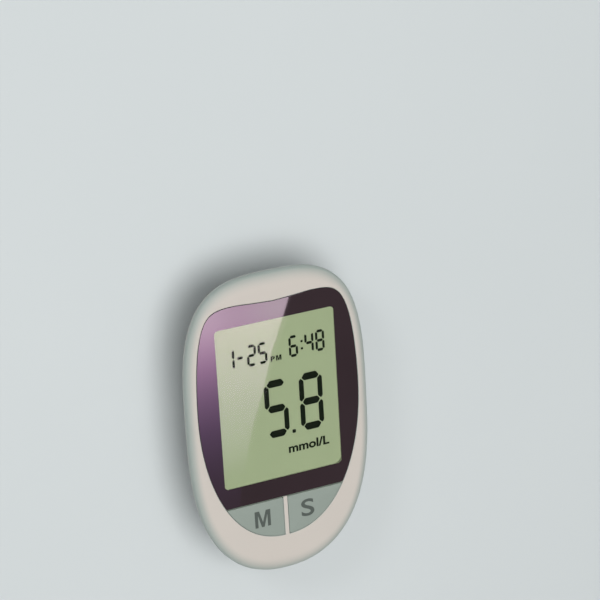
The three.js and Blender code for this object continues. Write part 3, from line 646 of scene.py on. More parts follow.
def carved(name, body, steps, finish, *dressing):
    def cleaned(work):
        bmesh.ops.remove_doubles(work, verts=work.verts, dist=2e-7)
        bmesh.ops.dissolve_degenerate(work, edges=work.edges, dist=1e-7)
        bmesh.ops.dissolve_limit(work, verts=work.verts, edges=work.edges, angle_limit=math.radians(0.2))

    mesh = solid(body, steps)
    remeshed(mesh, cleaned)
    return dress(evenShading(newPiece(name, mesh, finish)), *dressing)


print("stage: case")


def hullInset(z):
    # lean = (rim - z) * k * (1 + corner), and the foot's roll = r(1 - sqrt(1 - (1 - z/r)^2))
    corner = np.maximum(0, 2 * np.abs(caseOut[:, 0]) * caseOut[:, 1])
    lean = (rimZ - z) * case["lean"] * (1 + case["cornerLean"] * corner)
    intoFoot = np.clip(1 - z / case["footRoll"], 0, 1)
    return lean + case["footRoll"] * (1 - np.sqrt(1 - intoFoot**2))


def columnRing(line, out, grow, z):
    every = np.ones(len(columns))
    return np.column_stack([line + (grow * every)[:, None] * out, z * every])


def caseRing(inset, z):
    return columnRing(caseAt, caseOut, -inset, z)


def lensRing(grow, z):
    return columnRing(lensAt, lensOut, grow, z)


def hullRing(inset, z):
    return caseRing(hullInset(z) + inset, z)


band = np.linalg.norm(caseAt[:, None] - lensLine[None], axis=2).min(1)
rollAt = case["sideRoll"] + (case["endRoll"] - case["sideRoll"]) * caseOut[:, 1] ** 2
rollAt = np.minimum(rollAt, case["rollShare"] * band)


def rollRing(angle, inset=0.0):
    # the rolled front edge at an angle from its foot: inset = roll(1 - cos a), rise = depth sin a
    return caseRing(rollAt * (1 - np.cos(angle)) + inset, rimZ + case["rimDepth"] * np.sin(angle))


def rimRings():
    # the wall's top, a soft rim as a curve with its middle at the rim, and the rolled front edge
    start, firstTurn = rimZ - case["rimRound"], math.radians(32)
    insets = (hullInset(start), 0, rollAt * (1 - math.cos(firstTurn)))
    heights = (start, rimZ, rimZ + case["rimDepth"] * math.sin(firstTurn))
    rings = []
    for t in np.linspace(0, 1, 7):
        shares = ((1 - t) ** 2, 2 * t * (1 - t), t**2)
        rings.append(caseRing(*(sum(s * v for s, v in zip(shares, values)) for values in (insets, heights))))
    return rings + [rollRing(a) for a in np.linspace(firstTurn, np.pi / 2, 9)[1:]]


def barBody(low, ends):
    # the bar between the keys: a section with a rounded top carried along Y
    r, half, top = bar["round"], bar["half"], faceZ - bar["sunk"]
    turns = np.linspace(0, np.pi / 2, 6)
    right = np.stack([half - r + r * np.cos(turns), top - r + r * np.sin(turns)], -1)
    section = np.vstack([[[half, low]], right, right[::-1] * np.array([-1, 1]), [[-half, low]]])
    return ringBody([np.insert(section, 1, end, axis=1) for end in ends])


def frontShell():
    # one loop of rings: up the wall, over the rim and the face, down the opening and back inside
    low = np.where(inNotch, port["high"] + fit, seamZ + seat)
    soft = case["seamRound"]
    reach = rimZ - case["rimRound"] - low - soft
    rings = [hullRing(soft, low)]
    rings += [hullRing(0, low + soft + reach * share) for share in (0, 0.35, 0.7)]
    rings += rimRings()
    edge = np.where(inBar, bar["edge"], case["openingRound"])
    shoulder, brink = rings[-1], lensRing(edge, faceZ)
    rings += [shoulder + (brink - shoulder) * share for share in (0.12, 0.4, 0.7, 0.92)]
    rings += [lensRing(inset, faceZ - drop) for inset, drop in rounded(edge)]
    recess = np.maximum(seamZ + case["lipHeight"] + fit, low + 0.15)
    thin = wall - case["lipWall"] - fit
    rings += [
        lensRing(0, innerFaceZ),
        lensRing(keyFlange + fit, innerFaceZ),
        rollRing(math.asin((innerFaceZ - rimZ) / case["rimDepth"]), wall),
        caseRing(wall, rimZ),
        hullRing(wall, recess),
        caseRing(hullInset(seamZ) + thin, recess),
        hullRing(thin, low),
    ]
    chinFoot = chinY - wall
    bodies = [
        ringBody(rings, loop=True),
        barBody(innerFaceZ - 0.3, (keysLow - 1.0, chinFoot)),
        barBody(innerFaceZ - 1.0, (chinFoot, chinY)),
    ]
    evenShading(made("front_shell", joined(*bodies), "caseWhite", "case", "case_white", "front_case"))


frontShell()
screwPlaces = [middleOf(f"case_screw_{i}")[:2] for i in range(1, 5)]
boardScrewPlaces = [middleOf(f"board_screw_{i}")[:2] for i in range(1, 4)]
casePost = dict(radius=2.6, hole=1.2, deep=4.2)
boardPost = dict(radius=1.45, hole=0.8, deep=4.1)


def postBody(place, low, high, radius, hole, deep):
    # a round post with a blind hole up its middle
    outside = [(1e-3, high), (radius, high), (radius, low)]
    inside = [(hole, low), (hole, low + deep), (1e-3, low + deep)]
    return placed(turned(outside + inside, 40), at=(*place, 0))


def frontPosts():
    # the screw posts under the face, cut clear of the lens and of the keys' flanges
    under = faceZ - wall / 2
    boardTop = boxOf("main_board")[1][2]
    posts = [postBody(place, seamZ + seat, under, **casePost) for place in screwPlaces]
    posts += [postBody(place, boardTop + seat, under, **boardPost) for place in boardScrewPlaces]
    overLens = prism(lensGrown(seat), innerFaceZ - seat, far)
    flanges = lensGrown(keyFlange + fit)
    keysRoom = prism(flanges[flanges[:, 1] < chinY], keyLow[2] - keyTravel - fit, far)
    carved("front_posts", joined(*posts), [(cut, overLens), (cut, keysRoom)],
           "caseWhite", "case", "case_white", "front_case")


frontPosts()
windowMiddle = np.array([0.0, (view["low"] + view["top"]) / 2])
windowHalfY = (view["top"] - view["low"]) / 2
ledge = dict(reach=0.9, depth=1.0, rise=0.015)


def windowLine(grow):
    corner = view["corner"] + grow
    return roundedBox(view["half"] + grow, windowHalfY + grow, corner, windowMiddle, steps=12)


def aboveChin(line, chin):
    # an outline cut off straight at the chin; it starts at its right end
    kept = line[line[:, 1] > chin]
    return np.vstack([[[kept[0, 0], chin]], kept, [[-kept[0, 0], chin]]])


def raysTo(middle, *lines):
    # sorted rays from a middle to the points of some lines, without near twins
    rays = np.sort(np.concatenate([anglesOf(line, middle) for line in lines]))
    return rays[np.concatenate([[True], np.diff(rays) > 1.5e-3])]


def windowLedge():
    # the front shell's ledge under the lens, toned like the display that it frames
    hole = windowLine(view["margin"])
    rim = aboveChin(lensGrown(ledge["reach"]), chinY)
    rays = raysTo(windowMiddle, lineAt(rim, np.arange(360) / 360), hole)
    outer, inner = (seenFrom(line, windowMiddle, rays) for line in (rim, hole))
    low, high = innerFaceZ - ledge["depth"], innerFaceZ + ledge["rise"]
    rings = [flat(outer, low), flat(outer, high), flat(inner, high), flat(inner, low)]
    return made("window_ledge", ringBody(rings, loop=True), "windowLedge",
                "case", "display_glass", "front_case")


windowLedgePiece = windowLedge()


def hullBody(inset, low, high, soft=0.0):
    # the rear's outside, or what lies an inset within it: foot rings, then the leaning wall
    foot = case["footRoll"] * (1 - np.cos(np.radians(np.linspace(0, 90, 10))))
    levels = [low] + [z for z in foot if z > low + 0.02]
    levels += list(np.linspace(levels[-1], high - soft, 5)[1:])
    rings = [hullRing(inset, z) for z in levels]
    if soft:
        rings.append(hullRing(inset + soft, high))
    return ringBody(rings)


bay = dict(half=11.05, wall=1.2, low=-32.5, top=19.0, foot=0.5, roof=12.8, roofTop=13.7)
door = dict(half=13.65, tongueHalf=14.35, low=0.1, top=1.7, end=21.4, tongueLow=0.95)
doorFrame = dict(half=15.75, past=1.4, low=0.45, top=3.2)
latch = dict(half=4.2, slit=0.8, length=9.0, back=1.2, low=1.6, high=1.9)
grip = dict(count=5, half=6.0, halfWidth=0.45, corner=0.44, pitch=2.0, first=13.45, top=0.5, edge=0.2)
pit = dict(radius=2.2, mouth=0.25, top=11.0, pillar=3.0, hole=1.2)


def doorRoom(gap, low, high):
    y = (-far, door["end"] + gap)
    tongues = slab(door["tongueHalf"] + gap, y, (door["tongueLow"] - gap, high))
    return slab(door["half"] + gap, y, (low, high)), tongues


def collarRoom(gap):
    # the strip collar's throat through the wall, and its flange within
    low, high = port["low"] - gap, port["high"] + gap
    half, flange = port["half"] + gap, port["flange"]
    near = boxOf("port_collar")[0][1]
    return (
        slab(half, (near - gap, far), (low, high)),
        slab(half + flange, (near - gap, near + flange + gap / 4), (low - flange, high)),
    )


def screwPit(place):
    # a round pit with a softened mouth
    radius, mouth, top = pit["radius"], pit["mouth"], pit["top"]
    wide, soft = radius + mouth, mouth * 0.3
    flare = [(0, -1), (wide, -1), (wide, 0), (radius + soft, soft)]
    return placed(turned(flare + [(radius, mouth), (radius, top), (0, top)]), at=(*place, 0))


def rearCase():
    # the hull hollowed, what stands inside it trimmed to its outside, then the lip and the cuts
    top = seamZ - seat
    lipInset, lipLow, lipTop = wall - case["lipWall"], top - case["lipWall"], seamZ + case["lipHeight"]
    corners = [(lipInset, lipLow), (lipInset, lipTop), (wall, lipTop), (wall, lipLow)]
    lip = ringBody([caseRing(hullInset(seamZ) + inset, z) for inset, z in corners], loop=True)
    around = bay["wall"]
    bayWalls = slab(bay["half"] + around, (bay["low"] - around, bay["top"] + around),
                    (bay["foot"], bay["roofTop"]))
    doorWalls = slab(doorFrame["half"], (-far, door["end"] + doorFrame["past"]),
                     (doorFrame["low"], doorFrame["top"]))
    pillars = [rod(pit["pillar"], bay["foot"], top, place, 48) for place in screwPlaces]
    inside = [(add, body) for body in [doorWalls, *pillars]] + [(trim, hullBody(0.6, 0.3, far))]
    labelRoom = roundedBox(*(labelHalf + seat), 1.1, labelMiddle)
    cuts = [
        slab(bay["half"], (bay["low"], bay["top"]), (-1, bay["roof"])),
        *doorRoom(fit, -1, door["top"] + 0.3),
        slab(latch["half"] + fit, (door["end"] - latch["back"] - fit, door["end"] + fit),
             (latch["low"], latch["high"] + 0.3)),
        *[screwPit(place) for place in screwPlaces],
        *[rod(pit["hole"], 10, 14, place, 32) for place in screwPlaces],
        prism(labelRoom, -1, labelHigh[2] + seat),
        *collarRoom(fit),
    ]
    steps = [(cut, hullBody(wall, wall, seamZ + 2)), (add, solid(bayWalls, inside)), (add, lip)]
    carved("rear_shell", hullBody(0, 0, top, case["seamRound"]), steps + [(cut, body) for body in cuts],
           "caseWhite", "case", "case_white", "rear_case")


rearCase()


def batteryDoor():
    # the door's plate and tongues within the case's outline, with its latch tab and finger grips
    plate, tongues = doorRoom(0, door["low"], door["top"])
    end, half, slit = door["end"], latch["half"], latch["half"] + latch["slit"]
    tab = slab(half, (end - latch["back"], end), (latch["low"], latch["high"]))
    steps = [(add, tongues), (trim, hullBody(0, 0, 6)), (add, tab)]
    for x in ((-slit, -half), (half, slit)):
        steps.append((cut, block(x, (end - latch["length"], far), (-1, 5))))
    for i in range(grip["count"]):
        y = end - grip["first"] - i * grip["pitch"]
        groove = roundedBox(grip["half"], grip["halfWidth"], grip["corner"], (0, y))
        steps.append((cut, softPrism(groove, -1, grip["top"], grip["edge"])))
    dressing = ("battery_door", "case_white", "battery_door")
    softEdges(carved("battery_door_cover", plate, steps, "caseWhite", *dressing), 0.12)


batteryDoor()
slot = dict(half=3.7, halfHeight=0.55, corner=0.25, z=12.45)
funnel = dict(spread=1.92, power=1.6, deep=1.6, length=1.8, steps=7)


def portCollar():
    # the collar trimmed to the case, with a flat slot and a funnel: spread = s * share^power
    first, flange = collarRoom(0)
    z, half, halfHeight = slot["z"], slot["half"], slot["halfHeight"]
    outer = frontHigh[1] - hullInset(z)[np.argmax(caseOut[:, 1])]
    rings = []
    for share in np.linspace(0, 1, funnel["steps"]):
        grow = funnel["spread"] * share ** funnel["power"]
        line = roundedBox(half + grow, halfHeight + grow, slot["corner"] + grow * 0.7) + np.array([0, z])
        rings.append(np.insert(line, 1, outer - funnel["deep"] + share * funnel["length"], axis=1))
    throat = slab(half, (0, far), (z - halfHeight, z + halfHeight))
    steps = [(add, flange), (trim, hullBody(seat, 0, 18)), (cut, throat), (cut, ringBody(rings))]
    dressing = ("case", "key_grey", "port_collar")
    softEdges(carved("strip_port_collar", first, steps, "portGrey", *dressing), 0.1)


portCollar()

print("stage: lens and display")
undercut = 1.0  # how much wider the border's opening is at its foot


def lensBorder():
    # the printed part of the lens: a ring from its outline to the window, which widens downwards
    edge, low, high = 0.05, lensLow[2], lensHigh[2]
    outline = softened(aboveChin(lensGrown(-lensGap), chinY + fit), 0.6)
    brink, foot = (softened(windowLine(grow), 0.1) for grow in (0.0, undercut))
    rays = raysTo(windowMiddle, outline[::6], windowLine(0.0))

    def ring(line, z):
        return flat(seenFrom(line, windowMiddle, rays), z)

    rings = [ring(outline, low)]
    rings += [ring(inward(outline, inset), high - drop) for inset, drop in rounded(edge)[::-1]]
    shoulder, inner = rings[-1], ring(brink, high)
    rings += [shoulder + (inner - shoulder) * share for share in (0.015, 0.1, 0.5, 1.0)]
    rings.append(ring(foot, low))
    return evenShading(made("lens_border", ringBody(rings, loop=True), "lensPrint",
                            "case", "lens_print", "display_lens"))


def lensWindow():
    gap = 0.015
    body = ringBody([flat(windowLine(undercut - gap), lensLow[2]), flat(windowLine(-gap), lensHigh[2])])
    return made("lens_window", body, "windowAcrylic", "case", "lens_print", "display_lens")


lensBorderPiece = lensBorder()
lensWindowPiece = lensWindow()

# The characters lie on the display's front glass, a little right of and below the window's middle
shift = np.array([1.1, -1.0])
inkLevels = (glassTop + 0.01, glassTop + 0.04)
onDisplay = ("displayInk", "case", "display_glass")
segmentsOn = {"1": "bc", "2": "abged", "4": "fgbc", "5": "afgcd", "6": "afgcde", "8": "abcdefg"}


def segment(middle, length, thickness, outerCut, innerCut, apex, turn):
    # a bar with pointed ends and softened corners; its outer long side lies a quarter left of turn
    half, side = length / 2, thickness / 2
    along = np.array([-half, -half + innerCut, half - innerCut, half, half - outerCut, -half + outerCut])
    over = np.array([apex, -side, -side, apex, side, side])
    line = softened(np.stack([along, over], -1), thickness * 0.28, 120)
    c, s = math.cos(turn), math.sin(turn)
    return prism(line @ np.array([[c, s], [-s, c]]) + np.array(middle), *inkLevels)


def digit(symbol, left, low, width, height, upright, level):
    # seven segments: a top, g middle, d bottom, f b above and e c below at the left and right
    middleX, middleY, reach = left + width / 2, low + height / 2, (height - level) / 2
    sideX = (width - upright) / 2
    bodies = []
    for name in segmentsOn[symbol]:
        if name in "agd":
            rise = dict(a=reach, g=0.0, d=-reach)[name]
            outer, apex = (0.36, 0.0) if name == "g" else (0.43, -0.1)
            bodies.append(segment((middleX, middleY + rise), width - 1.2 * upright, level,
                                  outer * level, 0.36 * level, apex * level, np.pi if name == "d" else 0.0))
        else:
            sideways, upwards = (-1 if name in "fe" else 1), (1 if name in "fb" else -1)
            length = height / 2 - 0.64 * level - 0.16 * upright
            place = (middleX + sideways * sideX, middleY + upwards * (0.16 * upright + length / 2))
            bodies.append(segment(place, length, upright, 0.44 * upright, 0.6 * upright,
                                  0.1 * upright, -sideways * np.pi / 2))
    return bodies


bigDigits = dict(low=-4.4, height=18.5, width=7.75, upright=1.6, level=2.3)
smallDigits = dict(low=20.05, height=6.85, width=3.0, upright=0.76, level=0.86)
bigPlaces = [("5", -4.75), ("8", 6.85)]
smallPlaces = [("1", -16.5), ("2", -9.45), ("5", -5.85), ("6", 4.3), ("4", 9.55), ("8", 13.15)]
dash = dict(middle=(-11.7, 23.45), length=1.95, thickness=0.86, outerCut=0.3, innerCut=0.3, apex=0, turn=0)
dots = [((4.4, -3.7), 0.58), ((8.6, 24.45), 0.36), ((8.6, 22.15), 0.36)]


def displayDigits():
    bodies = []
    for symbol, left in bigPlaces:
        bodies += digit(symbol, left, **bigDigits)
    for symbol, left in smallPlaces:
        bodies += digit(symbol, left, **smallDigits)
    bodies.append(segment(**dash))
    bodies += [prism(roundedBox(half, half, half * 0.55, middle, 5), *inkLevels) for middle, half in dots]
    made("display_digits", placed(joined(*bodies), at=(*shift, 0)), *onDisplay)


displayDigits()


def printed(name, words, corners, levels, weight, finish, *dressing):
    # words in the plain built-in face, fitted to a box on a surface
    curve = bpy.data.curves.new(name, "FONT")
    curve.body = words
    curve.offset = weight
    curve.extrude = 0.01
    curve.resolution_u = 8
    holder = linked(name, curve)
    mesh = bpy.data.meshes.new_from_object(holder.evaluated_get(bpy.context.evaluated_depsgraph_get()))
    bpy.data.objects.remove(holder)
    points = np.zeros(len(mesh.vertices) * 3)
    mesh.vertices.foreach_get("co", points)
    points = points.reshape(-1, 3)
    least, most = points.min(0), points.max(0)
    low, high = np.column_stack([corners, levels])
    points = low + (points - least) / (most - least) * (high - low)
    mesh.vertices.foreach_set("co", (points * millimetre).ravel())

    def cleaned(work):
        bmesh.ops.remove_doubles(work, verts=work.verts, dist=1e-7)
        bmesh.ops.recalc_face_normals(work, faces=work.faces)

    remeshed(mesh, cleaned)
    dress(newPiece(name, mesh, finish, 30), *dressing)


def letterM(corners, stroke):
    # strokes of one width, with the inner V down to the baseline
    low, high = np.array(corners)
    half, tall = (high[0] - low[0]) / 2, high[1] - low[1]
    right = [(0.44 * stroke, 0), (half - stroke, tall * 0.76), (half - stroke, 0), (half, 0), (half, tall)]
    right += [(half - 1.45 * stroke, tall), (0, tall * 0.3)]
    return np.array(right + [(-a, b) for a, b in right[-2::-1]]) + np.array([(low[0] + high[0]) / 2, low[1]])


def letterPrism(line, levels):
    # a prism over any outline, with one face at each end
    count = len(line)
    ends = np.arange(count)[None, :]
    points = np.vstack([flat(line, z) for z in levels])
    return facingOut(points, [gridBlock(2, count, False), ends[:, ::-1], ends + count])


printed("display_unit", "mmol/L", ((2.25, -10.5), (15.9, -7.55)) + shift, inkLevels, 0.03, *onDisplay)
printed("display_half_day", "P", ((-1.8, 20.1), (-0.45, 21.75)) + shift, inkLevels, 0.035, *onDisplay)
made("display_half_day_m", letterPrism(letterM(((-0.05, 20.1), (1.7, 21.75)) + shift, 0.42), inkLevels),
     *onDisplay)

print("stage: keys")
keys = dict(middle=(8.0, -29.0), cornerRound=1.1, soft=0.2, flangeThick=1.0, hook=0.8, hookWide=11.0)


def keyPiece(side, name):
    # the cap's outline: the lens's egg below the chin, straight beside the bar; rings carry it down
    near, edgeY = bar["half"] + keyGap, chinY - fit

    def zone(grow):
        line = lensGrown(grow)
        part = line[(line[:, 0] > near) & (line[:, 1] < edgeY)]
        return np.vstack([[[near, part[0, 1]]], part, [[part[-1, 0], edgeY], [near, edgeY]]])

    middle, hook = keys["middle"], keys["hook"]
    cap = softened(zone(-keyGap), keys["cornerRound"])
    rays = np.sort(anglesOf(cap[::6], middle))
    top, low = keyHigh[2], keyLow[2] + keyFlange
    flangeTop = low + keys["flangeThick"]
    flange = seenFrom(zone(keyFlange), middle, rays)
    rings = [flat(flange, low), flat(flange, flangeTop), flat(seenFrom(cap, middle, rays), flangeTop)]
    for inset, drop in rounded(keys["soft"], 6)[::-1]:
        rings.append(flat(seenFrom(inward(cap, inset), middle, rays), top - drop))
    wide = (near, near + keys["hookWide"])
    under = block(wide, (edgeY - hook, edgeY + fit + hook), (low - hook, low + 0.1))
    body = placed(joined(ringBody(rings), under), signs=(side, 1, 1))
    evenShading(made(f"{name}_cap", body, "keyGrey", name, "key_grey", name))


keyPiece(-1, "left_key")
keyPiece(1, "right_key")
letterLevels = (keyHigh[2] + 0.004, keyHigh[2] + 0.02)
made("left_key_letter", letterPrism(letterM(((-10.5, -32.1), (-5.3, -26.7)), 1.02), letterLevels),
     "keyLetter", "left_key", "key_grey")
printed("right_key_letter", "S", ((5.05, -32.15), (9.4, -26.5)), letterLevels, 0.014,
        "keyLetter", "right_key", "key_grey")


def switchDome(side):
    # a thin rubber cone, an outer line up and an inner one down, which flattens under its key
    name = f"{side}_dome"
    low, high = boxOf(name)
    middle = (low + high) / 2
    foot, web = (high[0] - low[0]) / 2, 0.35
    neck = boxOf(f"{side}_plunger")[1][0] - middle[0] + fit
    t = np.linspace(0, 1, 13)
    # radius runs evenly, and the rise eases in and out as 3t^2 - 2t^3
    rise = low[2] + (high[2] - low[2] - web) * (3 * t**2 - 2 * t**3)
    outer = np.stack([foot + (neck + web - foot) * t, rise + web], -1)
    inner = np.stack([foot - 2 * web + (neck - foot + 2 * web) * t, rise], -1)
    profile = [(foot, low[2]), *outer, *inner[::-1]]
    rings = [flat(circle(1.0, 64) * r + middle[:2], z) for r, z in profile]
    piece = made(f"{name}_web", ringBody(rings, loop=True), "switchRubber", "case", "rubber", name)
    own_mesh(piece)


switchDome("left")
switchDome("right")

print("stage: cells and contacts")
cell = dict(buttonRise=1.1, rim=0.45, button=1.9, buttonRound=0.25, dent=0.12, groove=0.15)


def batteryCell(number, towards):
    # a turned can along Y with rolled rims and a button, whose flat end is where along is 0
    low, high = boxOf(f"battery_cell_{number}")
    radius = (high[0] - low[0]) / 2
    length = high[1] - low[1]
    can, rim, button = length - cell["buttonRise"], cell["rim"], cell["button"]
    step = can - cell["groove"]
    profile = [(0, cell["dent"]), (radius * 0.62, cell["dent"]), (radius * 0.7, 0)]
    profile += [(radius - inset, drop) for inset, drop in rounded(rim)]
    profile += [(radius, z) for z in np.linspace(rim, can - rim, 30)[1:-1]]
    profile += [(radius - drop, can - inset) for inset, drop in rounded(rim)]
    profile += [(radius * 0.62, can), (radius * 0.55, step), (button, step)]
    profile += [(button - drop, length - inset) for inset, drop in rounded(cell["buttonRound"])]
    profile.append((0, length))
    points, blocks = turned(profile, 72)
    middle = (low + high) / 2
    base = low[1] if towards > 0 else high[1]
    body = placed((points, blocks), (0, 2, 1), (1, towards, 1), (middle[0], base, middle[2]))
    piece = made(f"power_cell_{number}", body, "cellWrap", "case", "cell_wrap", f"battery_cell_{number}")
    along = piece.data.attributes.new("along", "FLOAT", "POINT")
    along.data.foreach_set("value", (points[:, 2] / length).astype(np.float32))


batteryCell(1, 1)
batteryCell(2, -1)
cellZ = middleOf("battery_cell_1")[2]
cellX = middleOf("battery_cell_2")[0]
plate = dict(thickness=0.4, half=4.4, height=8.4, corner=0.8, edge=0.08, tab=0.8)
spring = dict(wire=0.33, base=3.4, tip=2.0, turns=3.5)


def springBody(x, y, towards, length):
    # a cone-shaped coil: radius and rise both run evenly along its turns
    t = np.linspace(0, 1, 170)
    angle = t * spring["turns"] * 2 * np.pi
    radius = spring["base"] + (spring["tip"] - spring["base"]) * t
    rise = towards * (length - spring["wire"]) * t
    line = np.stack([x + radius * np.cos(angle), y + rise, cellZ + radius * np.sin(angle)], -1)
    out = np.stack([np.cos(angle), np.zeros_like(t), np.sin(angle)], -1)
    side = unit(np.cross(unit(np.gradient(line, axis=0)), out))
    return tube(line, spring["wire"], out, side)


def plateBody(left, right, y, tabX, top):
    # a sheet across the bay's end with rounded corners, and its tab up to the board
    half, tab = plate["thickness"] / 2, plate["tab"]
    middle = ((left + right) / 2, cellZ)
    outline = roundedBox((right - left) / 2, plate["height"] / 2, plate["corner"], middle)
    sheet = softPrism(outline, -half, half, plate["edge"])
    strip = block((tabX - tab, tabX + tab), (-half + 0.01, half - 0.01), (cellZ, top))
    return joined(placed(sheet, (0, 2, 1), (1, 1, 1), (0, y, 0)), placed(strip, at=(0, y, 0)))


def dimpleBody(x, y, towards):
    profile = [(0, 0), (1.6, 0), (1.5, 0.25), (1.2, 0.55), (0.8, 0.68), (0, 0.7)]
    return placed(turned(profile, 40), (0, 2, 1), (1, towards, 1), (x, y, cellZ))


def batteryContacts():
    half, reach = plate["half"], plate["thickness"] / 2
    bridgeLow, bridgeHigh = boxOf("battery_bridge")
    lowY, topY, top = bridgeLow[1] + reach, boxOf("battery_positive")[1][1] - reach, bridgeHigh[2]
    springTop = boxOf("battery_cell_1")[0][1] - 0.3
    cellEnd = boxOf("battery_cell_2")[1][1] + 0.3
    sets = dict(
        bridge=(plateBody(-cellX - half, cellX + half, lowY, 0, top),
                springBody(-cellX, lowY, 1, springTop - lowY), dimpleBody(cellX, lowY, 1)),
        negative=(plateBody(cellX - half, cellX + half, topY, cellX, top),
                  springBody(cellX, topY, -1, topY - cellEnd)),
        positive=(plateBody(-cellX - half, -cellX + half, topY, -cellX, top), dimpleBody(-cellX, topY, -1)),
    )
    for name, bodies in sets.items():
        made(f"{name}_contact", joined(*bodies), "contactSteel", "case", "steel", f"battery_{name}")


batteryContacts()
screw = dict(head=1.3, radius=1.9, shank=1.0, core=0.82, pitch=0.55, slotHalf=0.32, slotDeep=0.7)


def caseScrew(number):
    # a domed head with a cross recess over a threaded shank
    node = f"case_screw_{number}"
    low, high = boxOf(node)
    base, top = low[2], high[2]
    head, radius, shank, core, pitch = (screw[k] for k in ("head", "radius", "shank", "core", "pitch"))
    profile = [(0, base)] + [(radius - 0.55 * inset, base + 0.45 * drop) for inset, drop in rounded(1.0, 7)]
    z = base + head
    profile += [(radius, z), (shank, z)]
    while z + pitch < top - shank:
        profile += [(core, z + pitch * 0.2), (shank, z + pitch * 0.5), (core, z + pitch * 0.8)]
        z += pitch
    profile += [(shank - 0.2, top - shank), (0.25, top), (0, top)]
    long, wide = radius * 0.62, screw["slotHalf"]
    steps = [(cut, softPrism(roundedBox(halfX, halfY, 0.2), base - 1, base + screw["slotDeep"], 0.15))
             for halfX, halfY in ((long, wide), (wide, long))]
    piece = carved(f"screw_{number}", turned(profile, 48), steps, "screwSteel", "case", "steel", node)
    piece.data.transform(Matrix.Translation((*middleOf(node)[:2] * millimetre, 0)))


for number in range(1, 5):
    caseScrew(number)


def backLabel():
    # a bare foil label with rounded corners in its recess
    body = softPrism(roundedBox(*labelHalf, 1.0, labelMiddle), labelLow[2], labelHigh[2], 0.03)
    made("bare_label", body, "labelFoil", "case", "label_film", "back_label")


backLabel()

print("stage: frame nodes that stay")
kept = dict(
    lensTape="lens_tape",
    switchRubber="rubber_sheet left_plunger right_plunger",
    displayGlass="lcd_front_glass lcd_rear_glass",
    reflectorFilm="lcd_reflector",
    innerPlastic="lcd_frame strip_socket",
    zebraRubber="zebra_strip",
    boardGreen="main_board",
    chipBlack="controller_chip amplifier_chip beeper",
    screwSteel="crystal_can board_screw_1 board_screw_2 board_screw_3",
    sleeveDark="supply_capacitor",
    contactGold="strip_contact_1 strip_contact_2 strip_contact_3 strip_contact_4",
)
for finish, names in kept.items():
    for name in names.split():
        painted(nodes[name].data, finish)

print("stage: studio")
# The camera stands above the port's end, to the left, as in the picture that the meter is built from
shot = dict(
    lens=152.98,
    place=(-287.478, 294.367, 665.117),
    ahead=(0.392865, -0.340581, -0.854203),
    up=(0.19623653, 0.93844273, -0.28428236),
)


def studioCamera():
    data = bpy.data.cameras.new("camera")
    data.lens = shot["lens"]
    data.sensor_width = 36.0
    data.clip_start, data.clip_end = 0.01, 20.0
    camera = linked("camera", data)
    ahead, up = Vector(shot["ahead"]).normalized(), Vector(shot["up"]).normalized()
    right = ahead.cross(up)
    turn = Matrix((right, right.cross(ahead), -ahead)).transposed().to_4x4()
    camera.matrix_world = Matrix.Translation(Vector(shot["place"]) * millimetre) @ turn
    bpy.context.scene.camera = camera


studioCamera()


def studioFloor():
    tree, shader = newFinish("floorPale")
    tones = [(0.3, (0.615, 0.655, 0.675)), (0.7, (0.63, 0.668, 0.688))]
    tone = ramp(tree, noise(tree, 6.0), tones)
    fill(shader, {"Base Color": tone, "Roughness": 0.9, "Specular IOR Level": 0.1})
    floor = newPiece("floor", meshOf(prism(circle(4000.0, 96), -20.0, 0.0)), "floorPale")


studioFloor()


def studioWorld():
    # an even sky, a little greener towards the horizon; the camera sees the floor's own tone there
    world = bpy.data.worlds.new("studio")
    bpy.context.scene.world = world
    world.use_nodes = True
    tree = world.node_tree
    tree.nodes.clear()
    height = newNode(tree, "ShaderNodeSeparateXYZ", {"Vector": place(tree, "Generated")}).outputs["Z"]
    sky = ramp(tree, height, [(0.0, (0.14, 0.175, 0.165)), (0.7, (0.34, 0.345, 0.335))])
    light = newNode(tree, "ShaderNodeBackground", {"Color": sky})
    seen = newNode(tree, "ShaderNodeBackground", {"Color": (0.63, 0.67, 0.69, 1)})
    fromCamera = newNode(tree, "ShaderNodeLightPath").outputs["Is Camera Ray"]
    mix = newNode(tree, "ShaderNodeMixShader", {"Fac": fromCamera, 1: light.outputs[0], 2: seen.outputs[0]})
    newNode(tree, "ShaderNodeOutputWorld", {"Surface": mix.outputs["Shader"]})


studioWorld()

# Lamps and sky shine past the lens's border and what lies under it, so the display is lit to its edges
for piece in (lensBorderPiece, windowLedgePiece, nodes["lens_tape"]):
    piece.visible_shadow = False
    piece.visible_diffuse = False


def softLamp(name, place, size, power, colour=(1, 1, 1), mirrored=False):
    # the lamps overhead aren't mirrored, so that the lens keeps its dark print when seen from above
    data = bpy.data.lights.new(name, "AREA")
    data.shape = "DISK"
    data.size = size
    data.energy = power
    data.color = colour
    lamp = linked(name, data)
    lamp.location = place
    lamp.visible_glossy = lamp.visible_transmission = mirrored
    lamp.rotation_euler = (-Vector(place)).to_track_quat("-Z", "Y").to_euler()


softLamp("key lamp", (-0.08, 0.09, 1.16), 0.8, 7.2, (1.0, 0.985, 0.96))
softLamp("side lamp", (-0.75, 0.72, 0.72), 0.3, 2.0, mirrored=True)
softLamp("top lamp", (-0.1, 0.1, 1.2), 1.3, 3.3)

# Lit cards that only the lens reflects, drawn in the lens's own plane and thrown to their height
glare = dict(height=300.0, left=-50.0, low=-30.0, top=62.0)
edgeLine = np.array([(8.8, 62.0), (5.3, 39.5), (3.0, 33.8), (-1.0, 25.0), (-5.0, 12.0), (-9.0, 2.0),
                     (-12.0, -8.0), (-14.0, -16.0), (-16.0, -30.0)])


